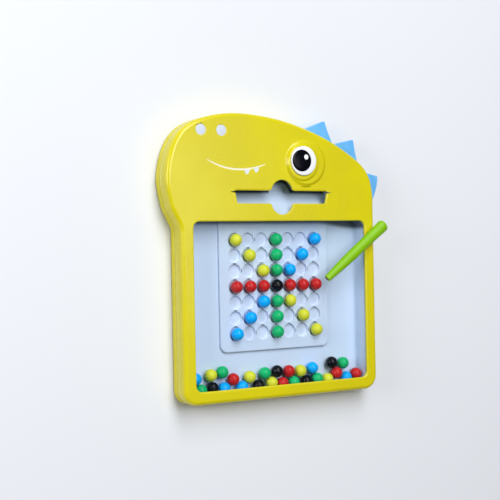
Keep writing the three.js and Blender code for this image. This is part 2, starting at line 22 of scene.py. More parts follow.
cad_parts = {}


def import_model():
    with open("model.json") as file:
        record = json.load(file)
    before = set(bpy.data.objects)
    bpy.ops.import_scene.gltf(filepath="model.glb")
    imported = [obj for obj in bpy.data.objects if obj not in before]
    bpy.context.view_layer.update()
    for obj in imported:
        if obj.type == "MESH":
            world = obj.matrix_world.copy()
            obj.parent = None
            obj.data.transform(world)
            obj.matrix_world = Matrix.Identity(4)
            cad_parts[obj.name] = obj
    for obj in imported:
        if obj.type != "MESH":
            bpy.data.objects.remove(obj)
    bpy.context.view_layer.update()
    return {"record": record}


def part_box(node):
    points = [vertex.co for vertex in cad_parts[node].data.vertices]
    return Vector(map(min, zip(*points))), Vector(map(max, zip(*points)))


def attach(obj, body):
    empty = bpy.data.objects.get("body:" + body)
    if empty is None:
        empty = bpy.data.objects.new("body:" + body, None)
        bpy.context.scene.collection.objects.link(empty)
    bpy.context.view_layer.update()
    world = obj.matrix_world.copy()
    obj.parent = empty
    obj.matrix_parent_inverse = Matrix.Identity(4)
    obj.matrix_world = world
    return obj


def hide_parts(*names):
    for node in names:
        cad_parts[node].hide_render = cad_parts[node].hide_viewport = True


Colour = tuple[int, int, int]
Pair = tuple[float, float]
Triple = tuple[float, float, float]

LOG = logging.getLogger("drawing_board")
METRES = 0.001
WELD = 2e-7
TINY = 1e-9
NEARNESS = 1e-6
SMOOTH_ANGLE = math.radians(32)
TURN = 2 * math.pi
QUARTER = math.pi / 2
APRON = (0.25, 0.6)
NARROW = (0.25, 0.55)
EASED = ((0.35, 0.0), (0.1, 0.1), (0.0, 0.35))
NUMBER, VECTOR, COLOUR = "NodeSocketFloat", "NodeSocketVector", "NodeSocketColor"


class Slot(Enum):
    """Names of the record's material slots."""

    CASING = "casing_yellow"
    REAR = "rear_yellow"
    TRAY = "tray_pale"
    WINDOW = "window_clear"
    CREST = "crest_blue"
    WHITE = "eye_white"
    BLACK = "eye_black"
    PEN = "pen_green"
    STEEL = "magnet_steel"


class BeadColour(Enum):
    """The five colours of the beads, by the names that their nodes start with."""

    YELLOW = "bead_yellow"
    GREEN = "bead_green"
    BLUE = "bead_blue"
    RED = "bead_red"
    BLACK = "bead_black"


# Outlines: closed rows of points in the plane, run anticlockwise


def angles_round(count: int) -> np.ndarray:
    """Even angles round a whole turn, from zero."""
    return np.linspace(0, TURN, count + 1)[:-1]


def arc(x: float, y: float, radius: float, start: float, end: float, steps: int) -> np.ndarray:
    """Points on a circle's arc: the centre plus the radius times cosine and sine.

    Args:
        x, y: the centre.
        radius: the radius.
        start, end: the angles of the ends, in radians.
        steps: the number of stretches between the ends.

    Returns:
        An array of steps + 1 points.
    """
    angles = np.linspace(start, end, steps + 1)
    return np.stack([x + radius * np.cos(angles), y + radius * np.sin(angles)], axis=1)


def circle(x: float, y: float, radius: float, count: int) -> np.ndarray:
    """Points evenly round a whole circle, the first one on its right."""
    return arc(x, y, radius, 0, TURN, count)[:-1]


def round_rectangle(low: Pair, high: Pair, radius: float, steps: int) -> np.ndarray:
    """Four quarter circles whose centres are the corners moved in by the radius.

    Args:
        low, high: the lowest and the highest corner.
        radius: the radius of the corners.
        steps: the number of stretches in each corner.

    Returns:
        The closed outline, from the bottom right corner on.
    """
    (left, bottom), (right, top) = low, high
    across, up = (right - radius, left + radius), (bottom + radius, top - radius)
    centres = ((across[0], up[0]), (across[0], up[1]), (across[1], up[1]), (across[1], up[0]))
    corners = [
        arc(x, y, radius, (k - 1) * QUARTER, k * QUARTER, steps)
        for k, (x, y) in enumerate(centres)
    ]
    return np.concatenate(corners)


def moved_in(outline: np.ndarray, distance: float) -> np.ndarray:
    """Moves each point inwards along the bisector of its two stretches.

    With the unit directions a before and b after a point, the move is the sum of their left
    normals times the distance over one plus their dot product.

    Args:
        outline: a closed anticlockwise outline.
        distance: how far each stretch moves inwards, negative for outwards.

    Returns:
        The moved outline, with the same number of points.
    """
    step = np.roll(outline, -1, axis=0) - outline
    after = step / np.linalg.norm(step, axis=1, keepdims=True)
    before = np.roll(after, 1, axis=0)
    normals = np.stack([-before[:, 1] - after[:, 1], before[:, 0] + after[:, 0]], axis=1)
    dots = np.sum(before * after, axis=1, keepdims=True)
    return outline + normals * distance / (1 + dots)


def rounded_corners(corners: np.ndarray, radii: np.ndarray, steps: int) -> np.ndarray:
    """Rounds each corner of a polygon with an arc tangent to both its sides.

    The arc's tangent length is the radius over the tangent of half the opening. Its points
    come from the chord between the two tangent points, pulled onto the arc.

    Args:
        corners: the polygon's corners.
        radii: the radius at each corner, zero for a sharp one.
        steps: the number of stretches in each arc.

    Returns:
        The outline, with steps + 1 points for a round corner and one for a sharp one.
    """
    back = np.roll(corners, 1, axis=0) - corners
    ahead = np.roll(corners, -1, axis=0) - corners
    back /= np.linalg.norm(back, axis=1, keepdims=True)
    ahead /= np.linalg.norm(ahead, axis=1, keepdims=True)
    opening = np.arccos(np.clip(np.sum(back * ahead, axis=1), -1, 1))
    reach = radii / np.tan(opening / 2)
    middle = back + ahead
    middle = middle / np.maximum(np.linalg.norm(middle, axis=1, keepdims=True), TINY)
    centre = corners + middle * (radii / np.sin(opening / 2))[:, None]
    first = corners + back * reach[:, None]
    last = corners + ahead * reach[:, None]
    share = np.linspace(0, 1, steps + 1)[None, :, None]
    chord = first[:, None] * (1 - share) + last[:, None] * share
    spoke = chord - centre[:, None]
    spoke /= np.maximum(np.linalg.norm(spoke, axis=2, keepdims=True), TINY)
    points = centre[:, None] + spoke * radii[:, None, None]
    keep = (radii[:, None] > 0) | (np.arange(steps + 1) == 0)[None, :]
    return points[keep]


def fillet(radius: float, steps: int) -> list[Pair]:
    """Steps of a quarter circle as pairs: how far in, and how far up."""
    angles = np.linspace(0, QUARTER, steps + 1)
    return [(radius * (1 - math.cos(a)), radius * math.sin(a)) for a in angles]


def rounded_edge(
    radius: float, level: float, steps: int, way: int = -1, apron: Pair = APRON
) -> list[Pair]:
    """Steps from a flat round an edge to a wall: how far from the wall, and the height.

    Args:
        radius: the radius of the edge.
        level: the height of the flat.
        steps: the number of stretches in the quarter circle.
        way: where the wall runs from the flat, -1 for down and 1 for up.
        apron: where two rings of the flat lie, which keep its shading clean.

    Returns:
        The steps, as pairs.
    """
    flat = [(radius + out, level) for out in apron[::-1]]
    return flat + [(i, level + way * (radius - up)) for i, up in fillet(radius, steps)[::-1]]


def catmull_rom(knots: np.ndarray, steps: int) -> np.ndarray:
    """A uniform spline through the knots, whose tangents are half the chord of the neighbours.

    Each span is a cubic in t with coefficients from its two knots and two tangents; the end
    knots count twice.

    Args:
        knots: the points that the spline passes.
        steps: the number of stretches in each span.

    Returns:
        The points of the spline.
    """
    padded = np.concatenate([knots[:1], knots, knots[-1:]])
    p0, p1, p2, p3 = padded[:-3], padded[1:-2], padded[2:-1], padded[3:]
    v0, v1 = (p2 - p0) / 2, (p3 - p1) / 2
    t = np.linspace(0, 1, steps + 1)[:-1][None, :, None]
    cubic = 2 * p1 - 2 * p2 + v0 + v1
    square = -3 * p1 + 3 * p2 - 2 * v0 - v1
    spans = cubic[:, None] * t**3 + square[:, None] * t**2 + v0[:, None] * t + p1[:, None]
    return np.concatenate([spans.reshape(-1, 2), knots[-1:]])


def quadratic(
    a: np.ndarray, b: np.ndarray, c: np.ndarray, t: np.ndarray | float
) -> np.ndarray:
    """The quadratic curve from a to c that b pulls, at the shares t."""
    return (1 - t) ** 2 * a + 2 * t * (1 - t) * b + t**2 * c


def divided(line: np.ndarray, most: float) -> np.ndarray:
    """Cuts each stretch of an open line into equal parts.

    Args:
        line: the line's points.
        most: the longest that a part may be.

    Returns:
        The points of the cut line.
    """
    parts = []
    for start, end in zip(line[:-1], line[1:]):
        count = max(1, math.ceil(np.linalg.norm(end - start) / most))
        parts.append(start + (end - start) * np.linspace(0, 1, count + 1)[:-1, None])
    return np.concatenate([*parts, line[-1:]])


def at_height(outline: np.ndarray, height: float) -> np.ndarray:
    """Puts a flat outline at a height."""
    return np.column_stack([outline, np.full(len(outline), height)])


def stacked(outline_at: Callable[[float], np.ndarray], steps: list[Pair]) -> np.ndarray:
    """An outline at several growths and heights, as rows of a grid."""
    return np.stack([at_height(outline_at(grow), height) for grow, height in steps])


def turned(profile: list[Pair], x: float, y: float, count: int) -> np.ndarray:
    """A surface of revolution about an upright axis: every profile radius times a circle."""
    return np.stack([at_height(circle(x, y, radius, count), z) for radius, z in profile])


# Skins and pieces


@dataclass
class Regions:
    """Triangles between outlines that may overlap, and which outlines each lies in."""

    points: np.ndarray
    triangles: np.ndarray
    owners: list[frozenset[int]]

    def inside(self, wanted: set[int]) -> np.ndarray:
        """The triangles that lie in exactly these outlines."""
        chosen = [owner == frozenset(wanted) for owner in self.owners]
        return self.triangles[np.array(chosen, dtype=bool)]

    def touching(self, wanted: set[int], without: set[int] = frozenset()) -> np.ndarray:
        """The triangles that lie in any of the wanted outlines and in none of the others."""
        chosen = [bool(owner & wanted) and not owner & without for owner in self.owners]
        return self.triangles[np.array(chosen, dtype=bool)]


def flat_regions(outlines: list[np.ndarray]) -> Regions:
    """Cuts the plane into triangles along every outline.

    Args:
        outlines: closed outlines; the first one lies round the others.

    Returns:
        The triangles, with the outlines that hold each of them.
    """
    starts = np.cumsum([0] + [len(outline) for outline in outlines])
    loops = [list(range(a, b)) for a, b in zip(starts[:-1], starts[1:])]
    corners = [Vector(point) for point in np.concatenate(outlines).tolist()]
    inside_only = 1
    result = delaunay_2d_cdt(corners, [], loops, inside_only, NEARNESS)
    points = np.array([tuple(p) for p in result[0]])
    return Regions(points, np.array(result[2]), [frozenset(owner) for owner in result[5]])


def rim_of(triangles: np.ndarray) -> np.ndarray:
    """The edges that only one triangle has.

    Args:
        triangles: rows of three points' numbers.

    Returns:
        The edges, as pairs of points in the triangle's order.
    """
    edges = np.concatenate([triangles[:, [0, 1]], triangles[:, [1, 2]], triangles[:, [2, 0]]])
    keys = np.sort(edges, axis=1)
    _, inverse, counts = np.unique(keys, axis=0, return_inverse=True, return_counts=True)
    return edges[counts[inverse.reshape(-1)] == 1]


class Skin:
    """The surface of one piece, gathered patch by patch and welded into one closed mesh."""

    def __init__(self) -> None:
        """Starts without patches."""
        self.points: list[np.ndarray] = []
        self.faces: list[list[int]] = []
        self.count = 0

    def patch(self, points: np.ndarray, faces: np.ndarray) -> None:
        """Adds points and the faces between them.

        Args:
            points: rows of x, y and z.
            faces: rows of points' numbers, counted from the patch's first point.
        """
        self.points.append(points)
        self.faces.extend((np.asarray(faces) + self.count).tolist())
        self.count += len(points)

    def grid(self, rows: np.ndarray, closed: bool = True, keep: np.ndarray | None = None) -> None:
        """Adds the four-sided faces between rows of points.

        Args:
            rows: an array of rows by columns by three.
            closed: whether the last column joins the first.
            keep: which columns get faces, or all of them.
        """
        height, width = rows.shape[:2]
        columns = np.arange(width if closed else width - 1)
        if keep is not None:
            columns = columns[keep[columns]]
        start = np.arange(height - 1)[:, None] * width
        a = start + columns[None, :]
        b = start + (columns[None, :] + 1) % width
        quads = np.stack([a, b, b + width, a + width], axis=-1).reshape(-1, 4)
        self.patch(rows.reshape(-1, 3), quads)

    def polygon(self, points: np.ndarray) -> None:
        """Adds one flat face with these corners."""
        self.patch(points, np.arange(len(points))[None, :])

    def fan(self, ring: np.ndarray, tip: np.ndarray) -> None:
        """Adds the triangles between a ring and a tip.

        Args:
            ring: the ring's points.
            tip: the point that all triangles share.
        """
        near = np.arange(len(ring))
        faces = np.stack([near, np.roll(near, -1), np.full(len(ring), len(ring))], axis=1)
        self.patch(np.vstack([ring, tip]), faces)

    def cap(self, ring: np.ndarray) -> None:
        """Closes a ring with a fan of triangles to its centre."""
        self.fan(ring, ring.mean(axis=0))

    @classmethod
    def solid(cls, rows: np.ndarray) -> "Skin":
        """A closed skin from rows of rings, with a cap on both ends."""
        skin = cls()
        skin.cap(rows[0])
        skin.pit(rows)
        return skin

    def pit(self, rows: np.ndarray) -> np.ndarray:
        """Adds rows of rings that end in a cap.

        Args:
            rows: the rings, from the mouth to the floor.

        Returns:
            The outline of the mouth, which the flat round it leaves free.
        """
        self.grid(rows)
        self.cap(rows[-1])
        return rows[0][:, :2]

    def flat(self, outer: np.ndarray, holes: list[np.ndarray], height: float) -> None:
        """Fills the flat between an outline and its holes with triangles."""
        regions = flat_regions([outer, *holes])
        self.patch(at_height(regions.points, height), regions.inside({0}))

    def slab(self, rows: np.ndarray) -> None:
        """Adds rows of rings of any shape, with a flat on both ends."""
        self.grid(rows)
        for ring in (rows[0], rows[-1]):
            self.flat(ring[:, :2], [], ring[0, 2])

    def step(self, regions: Regions, triangles: np.ndarray, first: float, second: float) -> None:
        """Adds the upright faces round some triangles of a plane.

        Args:
            regions: the plane's regions.
            triangles: the triangles that the faces go round.
            first, second: the two heights that the faces run between.
        """
        rim = rim_of(triangles)
        both = np.concatenate([at_height(regions.points, z) for z in (first, second)])
        self.patch(both, np.column_stack([rim, rim[:, ::-1] + len(regions.points)]))

    def mesh(self, name: str) -> bpy.types.Mesh:
        """Welds the patches, turns the faces outwards and shades all but real corners smooth.

        Args:
            name: the name of the mesh.

        Returns:
            The mesh, in metres, with its bend stored as the attributes edge and hollow.
        """
        mesh = bpy.data.meshes.new(name)
        places = np.concatenate(self.points) * METRES
        mesh.from_pydata(places.tolist(), [], self.faces)
        work = bmesh.new()
        work.from_mesh(mesh)
        bmesh.ops.remove_doubles(work, verts=work.verts, dist=WELD)
        bmesh.ops.dissolve_degenerate(work, edges=work.edges, dist=WELD)
        loose = [vert for vert in work.verts if not vert.link_faces]
        bmesh.ops.delete(work, geom=loose, context="VERTS")
        bmesh.ops.recalc_face_normals(work, faces=work.faces)
        work.to_mesh(mesh)
        work.free()
        mesh.shade_smooth()
        mesh.set_sharp_from_angle(angle=SMOOTH_ANGLE)
        store_bend(mesh)
        return mesh


def read(
    items: bpy.types.bpy_prop_collection, key: str, width: int, kind: type = float
) -> np.ndarray:
    """One property of all of a mesh's points or edges.

    Args:
        items: the points or the edges.
        key: the name of the property.
        width: how many numbers it holds.
        kind: the type of the numbers.

    Returns:
        An array with a row for each item.
    """
    values = np.empty(len(items) * width, dtype=kind)
    items.foreach_get(key, values)
    return values.reshape(-1, width)


def store(mesh: bpy.types.Mesh, name: str, amount: np.ndarray) -> None:
    """Stores an amount from zero to one at each point of a mesh, as an attribute."""
    layer = mesh.attributes.new(name, "FLOAT", "POINT")
    layer.data.foreach_set("value", np.clip(amount, 0, 1).astype(np.float32))


def store_bend(mesh: bpy.types.Mesh) -> None:
    """Stores how sharply the surface bends outwards (edge) and inwards (hollow) at each point.

    The bend along an edge is the change of normal along it over its length squared. Each
    point keeps the largest bend of its edges, times a reach, between zero and one.

    Args:
        mesh: the mesh that gets the two attributes.
    """
    reach, least = 0.45 * METRES, 1e-14
    places, normals = read(mesh.vertices, "co", 3), read(mesh.vertices, "normal", 3)
    a, b = read(mesh.edges, "vertices", 2, np.int32).T
    along = places[a] - places[b]
    squares = np.maximum(np.sum(along * along, axis=1), least)
    bend = np.sum((normals[a] - normals[b]) * along, axis=1) / squares * reach
    for name, amount in (("edge", bend), ("hollow", -bend)):
        most = np.zeros(len(places))
        np.maximum.at(most, a, amount)
        np.maximum.at(most, b, amount)
        store(mesh, name, most)


def node_bodies(record: dict) -> dict[str, str]:
    """The body that each node of the frame moves with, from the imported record."""
    bodies = record["behaviour"]["bodies"]
    return {node: body for body, nodes in bodies.items() for node in nodes}


def add_piece(
    skin: Skin, name: str, material: bpy.types.Material, slot: str, *nodes: str,
    body: str = "root",
) -> bpy.types.Object:
    """Makes a skin a piece that rides on a body.

    Args:
        skin: the piece's surface.
        name: the name of the piece.
        material: its material.
        slot: not used.
        nodes: the nodes of the frame that it stands for.
        body: the body that it moves with.

    Returns:
        The new object.
    """
    mesh = skin.mesh(name)
    mesh.materials.append(material)
    piece = bpy.data.objects.new(name, mesh)
    bpy.context.scene.collection.objects.link(piece)
    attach(piece, body)
    if nodes:
        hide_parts(*nodes)
    LOG.info("%s: %d faces on %s", name, len(mesh.polygons), body)
    return piece


# Finishes


def linear(colour: Colour) -> tuple[float, float, float, float]:
    """A screen colour of 0 to 255 as linear light."""
    shares = np.array(colour) / 255
    light = np.where(shares <= 0.04045, shares / 12.92, ((shares + 0.055) / 1.055) ** 2.4)
    return (*light.tolist(), 1.0)


class Wiring:
    """Adds nodes to a tree and joins them, with short words for what the finishes need."""

    def __init__(self, tree: bpy.types.NodeTree) -> None:
        """Takes the tree that the nodes go into."""
        self.tree = tree

    def feed(self, node: bpy.types.Node, inputs: dict[str | int, object]) -> None:
        """Joins other nodes' outputs to a node's sockets, or sets the sockets' own values.

        Args:
            node: the node.
            inputs: outputs or values, by the sockets' names or numbers.
        """
        for key, value in inputs.items():
            if isinstance(value, bpy.types.NodeSocket):
                self.tree.links.new(value, node.inputs[key])
            else:
                node.inputs[key].default_value = value

    def node(
        self, kind: str, inputs: dict[str | int, object] | None = None, **settings: object
    ) -> bpy.types.Node:
        """Adds a node.

        Args:
            kind: the node's type.
            inputs: what its sockets get, by their names or numbers.
            settings: its properties.

        Returns:
            The node.
        """
        node = self.tree.nodes.new(kind)
        for key, value in settings.items():
            setattr(node, key, value)
        self.feed(node, inputs or {})
        return node

    def group(self, tree: bpy.types.NodeTree, **inputs: object) -> bpy.types.NodeOutputs:
        """Places a shared group and returns its outputs."""
        return self.node("ShaderNodeGroup", inputs, node_tree=tree).outputs

    def attribute(self, name: str) -> bpy.types.NodeSocket:
        """An amount that the mesh stores at its points."""
        return self.node("ShaderNodeAttribute", attribute_name=name).outputs["Fac"]

    def math(self, operation: str, *values: object, clamp: bool = False) -> bpy.types.NodeSocket:
        """One step of arithmetic."""
        inputs = dict(enumerate(values))
        return self.node("ShaderNodeMath", inputs, operation=operation, use_clamp=clamp).outputs[0]

    def spread(self, value: object, low: float, high: float, to_low: float = 0.0,
               to_high: float = 1.0) -> bpy.types.NodeSocket:
        """Spreads a range of values smoothly over another range."""
        inputs = dict(enumerate((value, low, high, to_low, to_high)))
        return self.node("ShaderNodeMapRange", inputs, interpolation_type="SMOOTHSTEP").outputs[0]

    def mix(self, share: object, first: object, second: object) -> bpy.types.NodeSocket:
        """Mixes two colours: sockets 6, 7 and output 2 are those of the colour mode."""
        inputs = {0: share, 6: first, 7: second}
        return self.node("ShaderNodeMix", inputs, data_type="RGBA").outputs[2]

    def mapped(self, place: object, **changes: Triple) -> bpy.types.NodeSocket:
        """Coordinates that are moved (Location), turned (Rotation) or stretched (Scale)."""
        return self.node("ShaderNodeMapping", {"Vector": place, **changes}).outputs[0]

    def noise(self, place: object, scale: object, detail: float = 2.0,
              roughness: float = 0.5) -> bpy.types.NodeSocket:
        """Noise from 0 to 1, with its scale in waves per metre."""
        inputs = {"Vector": place, "Scale": scale, "Detail": detail, "Roughness": roughness}
        return self.node("ShaderNodeTexNoise", inputs).outputs["Fac"]


class Group(Wiring):
    """The wiring of a new shader group, which several finishes share."""

    def __init__(self, name: str, inputs: dict[str, str], outputs: dict[str, str]) -> None:
        """Makes the group with its sockets.

        Args:
            name: the group's name.
            inputs: the kinds of its inputs, by name.
            outputs: the kinds of its outputs, by name.
        """
        super().__init__(bpy.data.node_groups.new(name, "ShaderNodeTree"))
        for way, sockets in (("INPUT", inputs), ("OUTPUT", outputs)):
            for socket, kind in sockets.items():
                self.tree.interface.new_socket(name=socket, in_out=way, socket_type=kind)
        self.given = self.node("NodeGroupInput").outputs

    def give(self, **outputs: object) -> bpy.types.NodeTree:
        """Feeds the group's outputs and returns its tree."""
        self.node("NodeGroupOutput", outputs)
        return self.tree


@cache
def moulded_grain() -> bpy.types.NodeTree:
    """Fine pits of a spark-eroded mould over a slow wave, as a height."""
    w = Group("moulded_grain", {"Place": VECTOR, "Fineness": NUMBER}, {"Height": NUMBER})
    place, fineness = w.given["Place"], w.given["Fineness"]
    pits = w.noise(place, fineness, 3.0, 0.6)
    slow = w.noise(place, w.math("MULTIPLY", fineness, 0.02), 1.0)
    return w.give(Height=w.math("ADD", pits, w.math("MULTIPLY", slow, 3.0)))


@cache
def cloudy_tint() -> bpy.types.NodeTree:
    """Slow clouds of a second shade, as a moulded colour shows where it flowed."""
    w = Group(
        "cloudy_tint", {"Place": VECTOR, "Clouds": NUMBER, "Colour": COLOUR, "Shade": COLOUR},
        {"Colour": COLOUR, "Mask": NUMBER},
    )
    clouds = w.noise(w.given["Place"], w.given["Clouds"], 3.0, 0.55)
    mask = w.spread(clouds, 0.32, 0.68)
    return w.give(Mask=mask, Colour=w.mix(mask, w.given["Colour"], w.given["Shade"]))


@cache
def worn_edges() -> bpy.types.NodeTree:
    """Rubs the edges paler in uneven patches, and darkens the hollows: with dust, and on the tray
    with painted shade.
    """
    w = Group(
        "worn_edges", {"Place": VECTOR, "Edge": NUMBER, "Hollow": NUMBER, "Colour": COLOUR,
                       "Rubbed": COLOUR, "Dust": COLOUR},
        {"Colour": COLOUR, "Wear": NUMBER},
    )
    given = w.given
    patches = w.spread(w.noise(given["Place"], 160.0, 4.0, 0.6), 0.35, 0.7)
    wear = w.math("MULTIPLY", given["Edge"], w.math("MULTIPLY_ADD", patches, 0.5, 0.25))
    dust_and_shade = w.math("MULTIPLY", given["Hollow"], w.math("MULTIPLY_ADD", patches, -0.2, 0.4))
    rubbed = w.mix(wear, given["Colour"], given["Rubbed"])
    return w.give(Colour=w.mix(dust_and_shade, rubbed, given["Dust"]), Wear=wear)


@cache
def hairline_scuffs() -> bpy.types.NodeTree:
    """Faint crossing hairlines from handling, as a mask."""
    w = Group("hairline_scuffs", {"Place": VECTOR}, {"Mask": NUMBER})
    lines = []
    for turn, stretch in ((0.5, 14.0), (-0.9, 10.0)):
        place = w.mapped(w.given["Place"], Rotation=(0.0, 0.0, turn), Scale=(1.0, stretch, 1.0))
        lines.append(w.spread(w.noise(place, 90.0, 5.0, 0.7), 0.6, 0.74))
    return w.give(Mask=w.math("MAXIMUM", *lines))


class Look(Wiring):
    """The wiring of a new material around its Principled shader."""

    def __init__(self, name: str) -> None:
        """Makes the material."""
        self.material = bpy.data.materials.new(name)
        self.material.use_nodes = True
        super().__init__(self.material.node_tree)
        self.shader = self.tree.nodes["Principled BSDF"]

    @cached_property
    def place(self) -> bpy.types.NodeSocket:
        """The Object coordinates."""
        return self.node("ShaderNodeTexCoord").outputs["Object"]

    def dress(self, inputs: dict[str, object]) -> None:
        """Feeds the shader."""
        self.feed(self.shader, inputs)


@dataclass(frozen=True)
class Plastic:
    """A moulded plastic: two close shades, a grain, a gloss, how it wears, and the dust and
    painted shade in its hollows.
    """

    name: str
    colour: Colour
    shade: Colour
    rubbed: Colour
    # the colour of the hollows: dust, and on the tray painted shade
    dust_and_shade: Colour
    roughness: float = 0.4
    cloudy: float = 0.06
    scuffed: float = 0.08
    polished_by_wear: float = 0.1
    fineness: float = 2600.0
    depth: float = 0.012
    bump: float = 0.35
    clouds: float = 18.0
    specular: float = 0.5
    alpha: float = 1.0

    def base(self) -> tuple[Look, bpy.types.NodeSocket]:
        """Builds the material up to its shader.

        Returns:
            The wiring, and the worn colour, which further effects may paint over.
        """
        look = Look(self.name)
        place = look.place
        grain = look.group(moulded_grain(), Place=place, Fineness=self.fineness)
        tint = look.group(cloudy_tint(), Place=place, Clouds=self.clouds,
                          Colour=linear(self.colour), Shade=linear(self.shade))
        worn = look.group(worn_edges(), Place=place, Edge=look.attribute("edge"),
                          Hollow=look.attribute("hollow"), Colour=tint["Colour"],
                          Rubbed=linear(self.rubbed), Dust=linear(self.dust_and_shade))
        scuffs = look.group(hairline_scuffs(), Place=place)
        least = self.roughness - self.cloudy / 2
        rough = look.math("MULTIPLY_ADD", tint["Mask"], self.cloudy, least)
        rough = look.math("MULTIPLY_ADD", scuffs["Mask"], self.scuffed, rough)
        rough = look.math("MULTIPLY_ADD", worn["Wear"], -self.polished_by_wear, rough, clamp=True)
        bump = look.node("ShaderNodeBump", {
            "Strength": self.bump, "Distance": self.depth * METRES, "Height": grain["Height"],
        })
        look.dress({
            "Base Color": worn["Colour"], "Roughness": rough, "Normal": bump.outputs["Normal"],
            "Specular IOR Level": self.specular, "Alpha": self.alpha,
        })
        return look, worn["Colour"]

    def material(self) -> bpy.types.Material:
        """The finished material."""
        return self.base()[0].material


@dataclass(frozen=True)
class TrayPlastic(Plastic):
    """The tray's plastic, with a paler tone painted in the dished wells for the light they catch,
    and painted shade.

    The painted shade lies deep under the slot's edge, by its attribute, and in a band along the
    tray's top end, which widens towards the right-hand corner.
    """

    # a paler tone painted in the dished wells, for the light they catch
    polished: Colour = (203, 220, 246)
    # the colour of the painted shade
    painted_shade: Colour = (22, 30, 44)
    # the painted shadow band under the top end: where it rises, where it ends in the end wall's
    # foot, and how dark it gets
    band: Pair = (70.6, 75.6)
    band_end: Pair = (75.8, 76.6)
    band_share: float = 0.85
    # where the painted shadow band moves down towards the right-hand corner, and by how much
    corner: Pair = (45.0, 92.0)
    corner_drop: float = 5.4

    def top_shade_band(self, look: Look) -> bpy.types.NodeSocket:
        """How much painted shade lies along the top end: a smooth rise along y, from lower down at
        the corner.

        It falls again in the foot of the end wall.

        Args:
            look: the wiring of the material.

        Returns:
            The amount of painted shade.
        """
        x, y = look.node("ShaderNodeSeparateXYZ", {0: look.place}).outputs[:2]
        corner, band, band_end = np.array([self.corner, self.band, self.band_end]) * METRES
        drop = look.spread(x, *corner, 0.0, self.corner_drop * METRES)
        share = look.spread(look.math("ADD", y, drop), *band, 0.0, self.band_share)
        return look.math("MULTIPLY", share, look.spread(y, *band_end, 1.0, 0.0))

    def material(self) -> bpy.types.Material:
        """Mixes in the painted light of the wells and the painted shade."""
        look, colour = self.base()
        # painted light in the wells
        tone = look.mix(look.attribute("polished"), colour, linear(self.polished))
        # painted shade: under the slot's edge by its attribute, and in a band along the top end
        painted_shade = look.math("MAXIMUM", look.attribute("painted_shade"), self.top_shade_band(look))
        look.dress({"Base Color": look.mix(painted_shade, tone, linear(self.painted_shade))})
        return look.material


@dataclass(frozen=True)
class PupilPlastic(Plastic):
    """Black plastic with a round white glint painted on it."""

    glint: Pair = (22.5, 133.0)
    glint_radius: float = 2.3
    glint_colour: Colour = (250, 250, 252)
    glint_rim: Pair = (1.08, 0.92)

    def material(self) -> bpy.types.Material:
        """Paints the glint where the distance from its centre is under its radius."""
        look, colour = self.base()
        scale = 1 / (self.glint_radius * METRES)
        shift = tuple(-centre / self.glint_radius for centre in self.glint)
        spot = look.mapped(look.place, Location=(*shift, 0.0), Scale=(scale, scale, 0.0))
        length = look.node("ShaderNodeVectorMath", {0: spot}, operation="LENGTH")
        mask = look.spread(length.outputs["Value"], *self.glint_rim)
        look.dress({"Base Color": look.mix(mask, colour, linear(self.glint_colour))})
        return look.material


@dataclass(frozen=True)
class Steel:
    """Plated steel of the magnet and the screws, with fine turned lines."""

    name: str
    colour: Colour = (176, 178, 182)
    dark: Colour = (132, 134, 140)
    clouds: float = 700.0
    roughness: float = 0.32
    scuffed: float = 0.15

    def material(self) -> bpy.types.Material:
        """Mixes two greys in slow clouds and lets hairlines break the gloss."""
        look = Look(self.name)
        tint = look.group(cloudy_tint(), Place=look.place, Clouds=self.clouds,
                          Colour=linear(self.colour), Shade=linear(self.dark))
        scuffs = look.group(hairline_scuffs(), Place=look.place)
        rough = look.math("MULTIPLY_ADD", scuffs["Mask"], self.scuffed, self.roughness)
        look.dress({"Base Color": tint["Colour"], "Roughness": rough, "Metallic": 1.0})
        return look.material


# The board's parts


